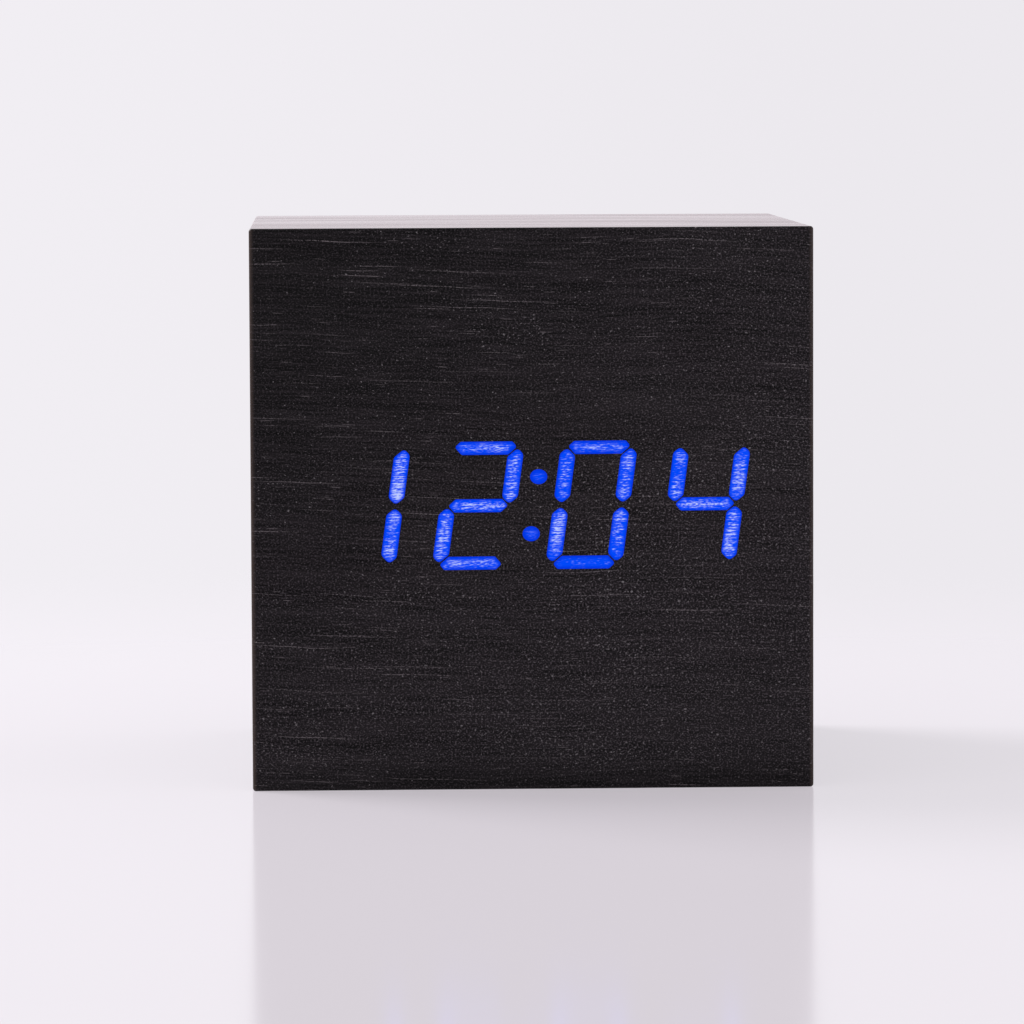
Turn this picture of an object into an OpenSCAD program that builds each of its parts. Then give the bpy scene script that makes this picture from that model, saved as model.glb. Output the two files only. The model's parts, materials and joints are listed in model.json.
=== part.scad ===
// Wooden cube alarm clock with a seven-segment display that shines through the veneer.
// Millimetres. The origin is the middle of the base, the front faces -Y and +Z is up.

/* [Case] */
// Width of the case across the front
case_w = 68; // [62:0.5:90]
// Depth of the case from front to back
case_d = 68; // [61:0.5:90]
// Height of the case
case_h = 68; // [61:0.5:90]
// Thickness of the fibreboard panels
panel_t = 4.5; // [3.5:0.1:5]
// Thickness of the wood veneer
veneer_t = 0.5; // [0.3:0.05:0.7]
// Side of the square blocks glued into the rear corners
block_side = 6; // [5:0.1:7]
// Length of the corner blocks
block_l = 12; // [9:0.5:16]

/* [Time shown] */
// Tens of the hour
hour_tens = 1; // [0:1:2]
// Units of the hour
hour_units = 2; // [0:1:9]
// Tens of the minute
minute_tens = 0; // [0:1:5]
// Units of the minute
minute_units = 4; // [0:1:9]

/* [Digits] */
// Distance between the centre lines of a digit's uprights
digit_w = 7.4; // [6.8:0.1:8]
// Distance from the middle bar's centre line to the top bar's
bar_rise = 6.95; // [6:0.05:8]
// Thickness of the horizontal bars
bar_t = 1.6; // [1.4:0.05:2]
// Thickness of the uprights
upright_t = 1.9; // [1.4:0.05:2.2]
// Gap between neighbouring segments
seg_gap = 0.4; // [0.2:0.05:0.6]
// How far a corner's point lies outside the centre line
tip_shift = 0.15; // [0:0.05:0.3]
// Slant of the digits in degrees
slant = 7.8; // [0:0.1:10]
// Diameter of the colon's dots
dot_d = 1.9; // [1.4:0.1:2.4]
// Distance between the colon's dots, measured upright
dot_spacing = 6.9; // [5:0.1:8]
// How far the display lies right of the middle of the face
display_dx = 0.4; // [-0.6:0.1:0.6]
// How far the display lies above the middle of the face
display_dz = 0.4; // [-4:0.1:4]

/* [Display unit] */
// Gap between the reflector and each side wall of the case
display_side_gap = 1.84; // [0.8:0.02:4]
// Rim of the reflector around the digits
reflector_rim = 0.9; // [0.6:0.1:1.3]
// Thickness of the reflector's rear flange
flange_t = 2; // [1.5:0.1:3]
// Height of the flange above and below the reflector's block
flange_tab = 6; // [5:0.1:8]
// Clearance of the reflector in the front panel's window
window_gap = 0.3; // [0.1:0.05:0.5]
// Thickness of the diffuser film
film_t = 0.2; // [0.1:0.05:0.4]
// Side of a square light-emitting chip
led_side = 1.1; // [0.8:0.05:1.2]
// Height of a light-emitting chip
led_h = 0.6; // [0.4:0.05:1]
// Distance of the display screws from the ends of the flange
display_screw_inset = 4; // [3:0.1:6]

/* [Rear cover] */
// Depth of the rear cover inside the rear edge
rear_inset = 1.8; // [1.6:0.1:3]
// Thickness of the rear cover
cover_t = 2.2; // [2:0.1:3]
// Clearance between the rear cover and the case
cover_gap = 0.3; // [0.1:0.05:0.5]
// Shank diameter of the rear cover screws
cover_screw_d = 2; // [1.6:0.1:2.4]
// Shank length of the rear cover screws
cover_screw_l = 9; // [7:0.5:10]
// Head diameter of the rear cover screws
cover_head_d = 4; // [3.2:0.1:4.6]
// Head height of the rear cover screws
cover_head_h = 1.2; // [0.8:0.1:1.4]
// Width of the cross in a screw's head
cross_w = 0.6; // [0.4:0.05:0.8]
// Depth of the cross in a screw's head
cross_depth = 0.5; // [0.3:0.05:0.6]
// Rim of a screw's head around its cross
cross_rim = 0.7; // [0.5:0.05:0.9]

/* [Batteries] */
// Diameter of a battery cell
cell_d = 10.5; // [10:0.1:10.7]
// Diameter of the cell's button
button_end_d = 3.8; // [3:0.1:5]
// Height of the cell's button
button_end_h = 1.2; // [0.8:0.1:1.6]
// Gap between neighbouring cells
cell_gap = 0.6; // [0.3:0.1:1]
// Clearance between the cells and the compartment
cell_play = 0.3; // [0.2:0.05:0.6]
// Gap between the battery compartment and each side wall of the case
tub_side_gap = 2.65; // [1:0.05:6]
// Wall of the battery compartment
tub_wall = 1.5; // [1.2:0.1:2]
// Thickness of the contact plates
plate_t = 0.4; // [0.3:0.05:0.6]
// Margin between a contact plate and the edge of its cell
plate_inset = 1; // [0.5:0.1:2]
// Width of a terminal's solder tab
tab_w = 2.4; // [1.8:0.1:3]
// Length of a solder tab inside the case
tab_l = 3; // [2.5:0.1:4]
// Length of a fitted contact spring
spring_l = 4.4; // [4.2:0.1:5]
// Turns of a contact spring
spring_turns = 3.5; // [3:0.5:3.5]
// Wire diameter of a contact spring
spring_wire_d = 0.6; // [0.5:0.05:0.65]
// Diameter of the contact spring at its plate
spring_wide_d = 8; // [7:0.1:9]
// Diameter of the contact spring at its cell
spring_narrow_d = 4.4; // [4:0.1:5]
// Diameter of the battery leads
lead_d = 1.2; // [1:0.1:1.6]
// Sideways bow of the battery leads
lead_bow = 1; // [0:0.1:1.2]
// Distance between the places where the leads are soldered to the main board
lead_spacing = 2.4; // [1.8:0.1:3]

/* [Battery door] */
// Width of the ledge that the door rests on
door_ledge = 0.8; // [0.6:0.05:1]
// Clearance around the door
door_gap = 0.3; // [0.2:0.05:0.5]
// Gap between the closed door and its ledge
door_seat_gap = 0.1; // [0.05:0.05:0.3]
// Diameter of the hinge pins
hinge_d = 1.2; // [1:0.05:1.3]
// Length of the hinge pins
hinge_l = 1.4; // [1:0.1:2]
// Radial clearance of the hinge pins
hinge_gap = 0.08; // [0.04:0.01:0.1]
// Width of the snap tongue
tongue_w = 12; // [8:0.5:20]
// Length of the snap tongue
tongue_l = 9; // [7:0.5:14]
// Width of the slits beside the snap tongue
slit_w = 0.8; // [0.6:0.1:1.2]
// Number of thumb ridges on the snap tongue
ridge_count = 4; // [2:1:5]
// Distance from one thumb ridge to the next
ridge_pitch = 1.4; // [1.2:0.1:1.6]
// Width and height of a thumb ridge
ridge_w = 0.6; // [0.4:0.1:0.8]
// Length of the catch behind the snap tongue
catch_l = 2; // [1.2:0.1:2.2]
// Thickness of the catch
catch_t = 0.9; // [0.6:0.1:1]
// Clearance above the catch
catch_gap = 0.5; // [0.4:0.05:0.7]

/* [Main board] */
// Thickness of the circuit boards
board_t = 1.6; // [1:0.1:1.8]
// Clearance of the main board to the side walls
board_side_gap = 1.2; // [0.8:0.1:2]
// Height of the main board above the battery compartment
board_lift = 1.5; // [1:0.1:2.5]
// Width of the ribs under the main board
rib_w = 1.2; // [0.8:0.1:2]
// Distance of the ribs and bosses from the ends of the battery compartment
boss_inset = 6.85; // [6:0.05:10]
// Diameter of the screw bosses
boss_d = 5; // [4.4:0.1:6]
// Height of the screw bosses
boss_h = 10; // [8:0.5:14]
// Depth that the screw bosses are rooted in the battery compartment's wall
boss_root = 0.6; // [0.3:0.1:1]
// Shank diameter of the board and display screws
small_screw_d = 1.8; // [1.4:0.1:2]
// Depth that the board and display screws bite
small_screw_bite = 3.2; // [2:0.1:3.2]
// Head diameter of the board and display screws
small_head_d = 3.4; // [2.8:0.1:3.8]
// Head height of the board and display screws
small_head_h = 1; // [0.7:0.1:1.3]
// Clearance between parts on the main board
part_gap = 1.3; // [1:0.1:1.5]

/* [Rear controls] */
// Distance from one button to the next
button_pitch = 7.2; // [6.8:0.1:7.6]
// Diameter of a button
button_d = 4.6; // [4:0.1:5]
// Clearance around a button
button_gap = 0.25; // [0.15:0.05:0.35]
// Height of a button above the rear cover
button_out = 0.9; // [0.7:0.1:1.2]
// Travel of a button
button_travel = 0.5; // [0.3:0.05:0.6]
// Diameter of the button's flange
button_flange_d = 5.8; // [5.4:0.1:6.2]
// Thickness of the button's flange
button_flange_t = 0.8; // [0.6:0.1:1.2]
// Gap between the button's flange and the rear cover
flange_seat_gap = 0.1; // [0.05:0.05:0.2]
// Height of the raised sign on a button
sign_h = 0.2; // [0.1:0.05:0.3]
// Width of the raised sign on a button
sign_w = 2.2; // [1.6:0.1:2.6]
// Side of a push switch
switch_side = 4.5; // [4:0.1:5]
// Depth of a push switch
switch_depth = 3; // [2.6:0.1:4]
// Diameter of a push switch's plunger
plunger_d = 2.4; // [1.6:0.1:2.8]
// Length of the plunger outside the switch
plunger_out = 0.8; // [0.7:0.05:1]
// Length of the plunger inside the switch
plunger_in = 0.7; // [0.5:0.05:1]
// Radial clearance of the plunger
plunger_gap = 0.1; // [0.06:0.01:0.15]
// Width of the slide switch
slide_w = 8; // [7:0.1:8.6]
// Depth of the slide switch
slide_depth = 3.6; // [3:0.1:5]
// Height of the slide switch
slide_h = 4; // [3:0.1:4.6]
// Width of the slide switch's knob
knob_w = 2; // [1.4:0.1:2.4]
// Height of the slide switch's knob
knob_h = 1.6; // [1.2:0.1:2]
// Travel of the slide switch's knob
knob_travel = 2; // [1.5:0.1:2.4]
// Length of the knob outside the rear cover
knob_out = 0.8; // [0.5:0.1:1.2]
// Length of the knob inside the slide switch
knob_in = 1; // [0.6:0.1:1.6]
// Clearance around the knob
knob_gap = 0.3; // [0.15:0.05:0.4]
// Gap between the rear cover and the parts behind it
behind_gap = 0.3; // [0.2:0.05:0.5]
// Width of the square legs under the slide switch and the microphone
leg_w = 0.6; // [0.4:0.1:0.8]

/* [Power inlet] */
// Width of the inlet's body
inlet_w = 6.2; // [5.8:0.1:7]
// Height of the inlet's body
inlet_h = 6; // [5.6:0.1:6.6]
// Length of the inlet's body
inlet_l = 10; // [9:0.1:11]
// Diameter of the inlet's nozzle
nozzle_d = 5.2; // [4.8:0.1:5.6]
// Diameter of the inlet's bore
inlet_bore_d = 3.7; // [3.6:0.1:4]
// Depth of the inlet's bore
inlet_bore_l = 10; // [9:0.1:10.5]
// Diameter of the inlet's centre pin
inlet_pin_d = 1.3; // [1:0.05:1.4]
// Depth of the centre pin's tip inside the nozzle
inlet_pin_set = 1; // [0.6:0.1:2]

/* [Board parts] */
// Diameter of the microphone
mic_d = 4; // [3.6:0.1:4.4]
// Length of the microphone
mic_l = 2.2; // [1.5:0.1:3]
// Diameter of the microphone's hole in the rear cover
mic_hole_d = 1.6; // [1:0.1:2]
// Diameter of the coin cell
coin_d = 20; // [18:0.1:21]
// Thickness of the coin cell
coin_t = 3.2; // [2.5:0.1:3.4]
// Step of the coin cell's rim
coin_step = 0.4; // [0.2:0.1:0.8]
// Wall and floor of the coin cell holder
holder_wall = 1; // [0.8:0.1:1.4]
// Clearance of the coin cell in its holder
coin_gap = 0.2; // [0.1:0.05:0.4]
// Width of the opening in the holder's wall
holder_slot = 9; // [6:0.5:12]
// Length of the clock chip
chip_w = 10.3; // [9:0.1:11]
// Width of the clock chip's body
chip_d = 6; // [5:0.1:7.5]
// Height of the clock chip
chip_h = 2.2; // [1.6:0.1:2.6]
// Number of legs on each side of the clock chip
chip_legs = 8; // [6:1:10]
// Reach of the clock chip's legs
chip_leg_l = 1.2; // [0.8:0.1:1.5]
// Width of the clock chip's legs
chip_leg_w = 0.5; // [0.3:0.05:0.5]
// Diameter of the buzzer
buzzer_d = 9; // [8:0.1:10]
// Height of the buzzer
buzzer_h = 5.5; // [4:0.1:6]
// Diameter of the buzzer's sound hole
buzzer_hole_d = 1.6; // [1:0.1:2.5]
// Diameter of the crystal's can
crystal_d = 2; // [1.5:0.1:3]
// Length of the crystal's can
crystal_l = 6; // [5:0.1:8]
// Diameter of the capacitor
capacitor_d = 5; // [4:0.1:6]
// Height of the capacitor
capacitor_h = 7; // [5:0.1:8]
// Width of the ribbon's connectors
plug_w = 11; // [9:0.1:13]
// Depth of the ribbon's connectors
plug_d = 5; // [4:0.1:6]
// Height of the ribbon's connectors
plug_h = 4; // [3:0.1:5]
// Thickness of the ribbon cable
ribbon_t = 0.9; // [0.6:0.1:1.2]
// Margin of the ribbon inside its connectors
ribbon_inset = 0.5; // [0.3:0.1:1]
// Margin of the connectors to the edges of their boards
plug_margin = 0.5; // [0.3:0.1:1]

/* [Hidden] */
$fn = 48;

// Overshoot of a cut past the face that it opens
cut = 1;
// Radial clearance of a screw in its pilot hole
pilot_gap = 0.05;
// Radial clearance of a screw in a plate that it clamps
clamp_gap = 0.2;
// Clearance beyond the tip of a screw
screw_end_gap = 0.5;
// Clearance of a colon dot in the veneer
dot_gap = 0.02;
// Clearance of a solder tab in its slot
tab_gap = 0.05;

// Case planes
front_y = -case_d / 2;
back_y = case_d / 2;
wall_t = panel_t + veneer_t;
inner_w = case_w - 2 * wall_t;
inner_z0 = wall_t;
inner_z1 = case_h - wall_t;
front_panel_y0 = front_y + veneer_t;
front_panel_y1 = front_panel_y0 + panel_t;
band_y0 = back_y - veneer_t;

// Display planes and sizes
display_x = display_dx;
display_z = case_h / 2 + display_dz;
slant_reach = (bar_rise + bar_t / 2) * tan(slant);
reflector_w = inner_w - 2 * display_side_gap;
digit_pitch = (reflector_w - digit_w - upright_t - 2 * (slant_reach + reflector_rim)) / 3;
reflector_h = 2 * bar_rise + bar_t + 2 * reflector_rim;
flange_h = reflector_h + 2 * flange_tab;
reflector_y0 = front_panel_y0 + film_t;
flange_y1 = front_panel_y1 + flange_t;
display_board_y1 = flange_y1 + board_t;
display_screw_x = reflector_w / 2 - display_screw_inset;
display_screw_z = (reflector_h + flange_tab) / 2;

// Rear cover planes and screws
cover_y1 = back_y - rear_inset;
cover_y0 = cover_y1 - cover_t;
cover_w = inner_w - 2 * cover_gap;
cover_screw_x = (inner_w - block_side) / 2;
cover_screw_zs = [inner_z0 + block_side / 2, inner_z1 - block_side / 2];

// Battery compartment, with as many cells as fit under the main board and the controls
tub_w = inner_w - 2 * tub_side_gap;
tub_in_w = tub_w - 2 * tub_wall;
cell_l = tub_in_w - spring_l - 2 * plate_t;
tub_z0 = inner_z0 + block_side + cover_gap;
cell_room = inner_z1 - tub_z0 - 2 * (tub_wall + cell_play) + cell_gap
    - board_lift - board_t - inlet_h - part_gap;
cell_count = floor(cell_room / (cell_d + cell_gap));
last_cell = cell_count - 1;
tub_in_h = cell_count * (cell_d + cell_gap) - cell_gap + 2 * cell_play;
tub_in_z0 = tub_z0 + tub_wall;
tub_in_z1 = tub_in_z0 + tub_in_h;
tub_z1 = tub_in_z1 + tub_wall;
cell_y = cover_y0 - cell_play - cell_d / 2;
tub_in_y0 = cell_y - cell_d / 2 - cell_play;
tub_y0 = tub_in_y0 - tub_wall;
function cell_z(i) = tub_in_z1 - cell_play - cell_d / 2 - i * (cell_d + cell_gap);
// A cell's button points to -X where this is -1 and to +X where it is 1
function cell_way(i) = i % 2 == 0 ? -1 : 1;
// The cells whose plates carry the solder tabs, each with its side of the compartment
TERMINALS = [[0, cell_way(0)], [last_cell, -cell_way(last_cell)]];
tab_y0 = tub_y0 - tab_l;
lead_y = tab_y0 + tab_w / 2;

// Battery door
door_open_w = tub_in_w + 2 * door_ledge;
door_open_z0 = tub_in_z0 - door_ledge;
door_open_z1 = tub_in_z1 + door_ledge;
door_w = door_open_w - 2 * door_gap;
door_z0 = door_open_z0 + door_gap;
door_z1 = door_open_z1 - door_gap;
door_y0 = cover_y0 + door_seat_gap;
door_t = cover_t - door_seat_gap;
hinge_y = door_y0 + door_t / 2;
hinge_z = door_z0 + door_t / 2;
catch_z1 = tub_in_z1 - catch_gap;

// Main board and the parts in a row behind the rear cover
board_w = inner_w - 2 * board_side_gap;
board_z0 = tub_z1 + board_lift;
board_z1 = board_z0 + board_t;
control_z = board_z1 + inlet_h / 2;
button_flange_y1 = cover_y0 - flange_seat_gap;
button_flange_y0 = button_flange_y1 - button_flange_t;
switch_y1 = button_flange_y0 - plunger_out;
switch_y0 = switch_y1 - switch_depth;
behind_y = cover_y0 - behind_gap;
board_y1 = switch_y1;
inlet_y0 = behind_y - inlet_l;
row_w = slide_w + mic_d + 2 * button_pitch + switch_side + inlet_w + 3 * part_gap;
slide_x = (slide_w - row_w) / 2;
mic_x = slide_x + (slide_w + mic_d) / 2 + part_gap;
set_x = mic_x + (mic_d + switch_side) / 2 + part_gap;
down_x = set_x + button_pitch;
up_x = down_x + button_pitch;
inlet_x = up_x + (switch_side + inlet_w) / 2 + part_gap;
button_xs = [set_x, down_x, up_x];
knob_y0 = behind_y - knob_in;
knob_x = slide_x - knob_travel / 2;
mic_y0 = behind_y - mic_l;

// Board screws, which stand in front of the battery compartment
boss_x = tub_in_w / 2 - boss_inset;
boss_y = tub_y0 + boss_root - boss_d / 2;

// Parts on the open half of the main board
parts_y = min(inlet_y0, boss_y - small_head_d / 2) - part_gap;
holder_side = coin_d + 2 * (coin_gap + holder_wall);
coin_x = -board_w / 2 + part_gap + holder_side / 2;
coin_y = parts_y - holder_side / 2;
chip_x = coin_x + (holder_side + chip_w) / 2 + part_gap;
chip_y = parts_y - chip_d / 2 - chip_leg_l;
buzzer_x = board_w / 2 - part_gap - buzzer_d / 2;
buzzer_y = parts_y - buzzer_d / 2;
crystal_y = chip_y - chip_d / 2 - chip_leg_l - part_gap - crystal_d / 2;
capacitor_y = buzzer_y - (buzzer_d + capacitor_d) / 2 - part_gap;
board_y0 = parts_y - holder_side - part_gap;
main_plug_y0 = board_y0 + plug_margin;
display_plug_z1 = display_z + flange_h / 2 - plug_margin;

// Outlines of the seven segments before the slant, with a 45 degree mitre at each joint
mitre = seg_gap / sqrt(2);
half_w = digit_w / 2;
half_bar = bar_t / 2;
half_upright = upright_t / 2;
bar_tip = half_w + tip_shift - mitre;
upright_tip = bar_rise + tip_shift - mitre;
middle_tip = half_w - mitre;
top_bar = [
    [-bar_tip, bar_rise + tip_shift],
    [half_bar - tip_shift - bar_tip, bar_rise + half_bar],
    [bar_tip - half_bar + tip_shift, bar_rise + half_bar],
    [bar_tip, bar_rise + tip_shift],
    [half_w - half_bar - mitre, bar_rise - half_bar],
    [half_bar + mitre - half_w, bar_rise - half_bar]
];
upper_right = [
    [half_w, mitre],
    [half_w + half_upright, mitre + half_upright],
    [half_w + half_upright, upright_tip - half_upright + tip_shift],
    [half_w + tip_shift, upright_tip],
    [half_w - half_upright, bar_rise - half_upright - mitre],
    [half_w - half_upright, mitre + half_upright]
];
middle_bar = [
    [-middle_tip, 0],
    [half_bar - middle_tip, half_bar],
    [middle_tip - half_bar, half_bar],
    [middle_tip, 0],
    [middle_tip - half_bar, -half_bar],
    [half_bar - middle_tip, -half_bar]
];
function flipped(points, right, up) = [for (p = points) [p.x * right, p.y * up]];
function slanted(points) = [for (p = points) [p.x + p.y * tan(slant), p.y]];
// Clockwise from the top bar, with the middle bar last
SEGMENTS = [
    top_bar, upper_right, flipped(upper_right, 1, -1), flipped(top_bar, 1, -1),
    flipped(upper_right, -1, -1), flipped(upper_right, -1, 1), middle_bar
];
ALL_SEGMENTS = [0, 1, 2, 3, 4, 5, 6];
// The segments that light for each figure from 0 to 9
FIGURES = [
    [0, 1, 2, 3, 4, 5], [1, 2], [0, 1, 3, 4, 6], [0, 1, 2, 3, 6], [1, 2, 5, 6],
    [0, 2, 3, 5, 6], [0, 2, 3, 4, 5, 6], [0, 1, 2], ALL_SEGMENTS, [0, 1, 2, 3, 5, 6]
];
function digit_x(place) = (place - 1.5) * digit_pitch;
// Middle of a segment's outline, where its chip sits
function middle_of(points) = [for (axis = [0, 1]) (min([for (p = points) p[axis]])
    + max([for (p = points) p[axis]])) / 2];

// General shapes

module span(low, high) {
    translate(low) cube(high - low);
}

module rod_x(d, x0, x1, y, z) {
    translate([x0, y, z]) rotate([0, 90, 0]) cylinder(d = d, h = x1 - x0);
}

module rod_y(d, y0, y1, x, z) {
    translate([x, y0, z]) rotate([-90, 0, 0]) cylinder(d = d, h = y1 - y0);
}

module rod_z(d, z0, z1, x, y) {
    translate([x, y, z0]) cylinder(d = d, h = z1 - z0);
}

// Extrudes an outline, drawn as seen from the front about the display's middle, from y0 to y1
module on_display(y0, y1) {
    translate([display_x, y1, display_z]) rotate([90, 0, 0]) linear_extrude(y1 - y0) children();
}

// A pan head screw along +Z with its head's underside at the origin and its shank below
module pan_screw(shank_d, shank_l, head_d, head_h) {
    cross_l = head_d - 2 * cross_rim;
    difference() {
        union() {
            translate([0, 0, -shank_l]) cylinder(d = shank_d, h = shank_l);
            cylinder(d = head_d, h = head_h);
        }
        for (turn = [0, 90])
            rotate(turn) translate([-cross_l / 2, -cross_w / 2, head_h - cross_depth])
                cube([cross_l, cross_w, cross_depth + cut]);
    }
}

// A round tube of triangles, given each ring's centre and the two directions that span the ring
module tube(rings, d, sides) {
    count = len(rings);
    points = [for (ring = rings, i = [0 : sides - 1])
        ring[0] + d / 2 * (cos(360 * i / sides) * ring[1] + sin(360 * i / sides) * ring[2])];
    walls = [for (k = [0 : count - 2], i = [0 : sides - 1], half = [0, 1])
        let (a = k * sides + i, b = k * sides + (i + 1) % sides)
        half == 0 ? [a, b, b + sides] : [a, b + sides, a + sides]];
    caps = [for (i = [1 : sides - 2], end = [0, 1])
        let (first = (count - 1) * sides * end)
        end == 0 ? [first, first + i + 1, first + i] : [first, first + i, first + i + 1]];
    polyhedron(points = points, faces = concat(walls, caps), convexity = 8);
}

// Fibreboard case

module front_panel() {
    color("burlywood") difference() {
        span([veneer_t - case_w / 2, front_panel_y0, veneer_t],
             [case_w / 2 - veneer_t, front_panel_y1, case_h - veneer_t]);
        on_display(front_panel_y0 - cut, front_panel_y1 + cut)
            square([reflector_w + 2 * window_gap, reflector_h + 2 * window_gap], center = true);
        display_screw_places() rod_y(small_screw_d + 2 * pilot_gap,
            front_panel_y1 - small_screw_bite - screw_end_gap, front_panel_y1 + cut, 0, 0);
    }
}

// One side of a square tube, mitred at both ends; turn 0 is the top and 90 the left side
module mitred_side(turn, outer_w, outer_h, t, y0, y1) {
    across = turn % 180 == 0 ? outer_w : outer_h;
    away = turn % 180 == 0 ? outer_h : outer_w;
    translate([0, y1, case_h / 2]) rotate([90, 0, 0]) linear_extrude(y1 - y0) rotate(turn)
        polygon([
            [-across / 2, away / 2], [across / 2, away / 2],
            [across / 2 - t, away / 2 - t], [t - across / 2, away / 2 - t]
        ]);
}

module side_panel(turn) {
    color("burlywood") mitred_side(turn, case_w - 2 * veneer_t, case_h - 2 * veneer_t, panel_t,
        front_panel_y1, band_y0);
}

module side_veneer(turn) {
    color("#1d1b1c") mitred_side(turn, case_w, case_h, veneer_t, front_panel_y0, band_y0);
}

module top_panel() { side_panel(0); }
module left_panel() { side_panel(90); }
module bottom_panel() { side_panel(180); }
module right_panel() { side_panel(270); }
module top_veneer() { side_veneer(0); }
module left_veneer() { side_veneer(90); }
module bottom_veneer() { side_veneer(180); }
module right_veneer() { side_veneer(270); }

// The veneer is cut out where the light comes through, and the lit pieces fill the cuts
module front_veneer() {
    color("#1d1b1c") difference() {
        span([-case_w / 2, front_y, 0], [case_w / 2, front_panel_y0, case_h]);
        on_display(front_y - cut, front_panel_y0 + cut) {
            figure(0, hour_tens);
            figure(1, hour_units);
            figure(2, minute_tens);
            figure(3, minute_units);
            dots(dot_d + 2 * dot_gap);
        }
    }
}

module rear_edge_band() {
    color("#1d1b1c") difference() {
        span([-case_w / 2, band_y0, 0], [case_w / 2, back_y, case_h]);
        span([-inner_w / 2, band_y0 - cut, inner_z0], [inner_w / 2, back_y + cut, inner_z1]);
    }
}

module corner_blocks() {
    color("burlywood") for (side = [-1, 1], z = cover_screw_zs) difference() {
        translate([side * cover_screw_x, cover_y0 - block_l / 2, z])
            cube([block_side, block_l, block_side], center = true);
        rod_y(cover_screw_d + 2 * pilot_gap, cover_y1 - cover_screw_l - screw_end_gap,
            cover_y0 + cut, side * cover_screw_x, z);
    }
}

// Display

module segments(place, which) {
    translate([digit_x(place), 0]) for (i = which) polygon(slanted(SEGMENTS[i]));
}

module figure(place, value) {
    segments(place, FIGURES[value]);
}

module dots(d) {
    for (up = [-1, 1])
        translate([up * dot_spacing / 2 * tan(slant), up * dot_spacing / 2]) circle(d = d);
}

module display_screw_places() {
    for (side = [-1, 1], up = [-1, 1])
        translate([display_x + side * display_screw_x, 0, display_z + up * display_screw_z])
            children();
}

module lit_piece() {
    color("#1040ff") on_display(front_y, front_panel_y0) children();
}

module lit_hour_tens() { lit_piece() figure(0, hour_tens); }
module lit_hour_units() { lit_piece() figure(1, hour_units); }
module lit_colon() { lit_piece() dots(dot_d); }
module lit_minute_tens() { lit_piece() figure(2, minute_tens); }
module lit_minute_units() { lit_piece() figure(3, minute_units); }

module diffuser_film() {
    color("ghostwhite") on_display(front_panel_y0, reflector_y0)
        square([reflector_w, reflector_h], center = true);
}

// A block with a light well behind every segment, and a flange that the board is screwed to
module reflector() {
    color("whitesmoke") difference() {
        union() {
            on_display(reflector_y0, flange_y1) square([reflector_w, reflector_h], center = true);
            on_display(front_panel_y1, flange_y1) square([reflector_w, flange_h], center = true);
        }
        on_display(reflector_y0 - cut, flange_y1 + cut) {
            for (place = [0 : 3]) segments(place, ALL_SEGMENTS);
            dots(dot_d);
        }
        display_screw_places() rod_y(small_screw_d + 2 * clamp_gap,
            front_panel_y1 - cut, flange_y1 + cut, 0, 0);
    }
}

module display_board() {
    color("seagreen") difference() {
        on_display(flange_y1, display_board_y1) square([reflector_w, flange_h], center = true);
        display_screw_places() rod_y(small_screw_d + 2 * clamp_gap,
            flange_y1 - cut, display_board_y1 + cut, 0, 0);
    }
}

module display_leds() {
    color("khaki") on_display(flange_y1 - led_h, flange_y1) {
        for (place = [0 : 3], i = ALL_SEGMENTS)
            translate([digit_x(place), 0] + middle_of(slanted(SEGMENTS[i])))
                square(led_side, center = true);
        for (up = [-1, 1])
            translate([up * dot_spacing / 2 * tan(slant), up * dot_spacing / 2])
                square(led_side, center = true);
    }
}

module display_screws() {
    color("silver") display_screw_places() translate([0, display_board_y1, 0]) rotate([-90, 0, 0])
        pan_screw(small_screw_d, board_t + flange_t + small_screw_bite, small_head_d, small_head_h);
}

module display_plug() {
    color("ivory") span([chip_x - plug_w / 2, display_board_y1, display_plug_z1 - plug_h],
        [chip_x + plug_w / 2, display_board_y1 + plug_d, display_plug_z1]);
}

// The ribbon leaves each connector straight and climbs between them on a cosine
module ribbon_cable() {
    from = [display_board_y1 + plug_d, display_plug_z1 - plug_h / 2];
    to = [main_plug_y0, board_z1 + plug_h / 2];
    steps = 16;
    middle = [for (i = [0 : steps]) let (t = i / steps)
        [from.x + (to.x - from.x) * t, from.y + (to.y - from.y) * (1 - cos(180 * t)) / 2]];
    lean = [for (i = [0 : steps]) let (t = i / steps)
        atan2((to.y - from.y) * 90 * sin(180 * t) * PI / 180, to.x - from.x)];
    function edge(side) = [for (i = [0 : steps])
        middle[i] + side * ribbon_t / 2 * [-sin(lean[i]), cos(lean[i])]];
    upper = edge(1);
    lower = edge(-1);
    color("lightgray") translate([chip_x - plug_w / 2 + ribbon_inset, 0, 0])
        rotate([90, 0, 90]) linear_extrude(plug_w - 2 * ribbon_inset)
            polygon(concat(upper, [for (i = [steps : -1 : 0]) lower[i]]));
}

// Rear cover with its battery compartment

module cover_screw_places() {
    for (side = [-1, 1], z = cover_screw_zs)
        translate([side * cover_screw_x, 0, z]) children();
}

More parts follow.
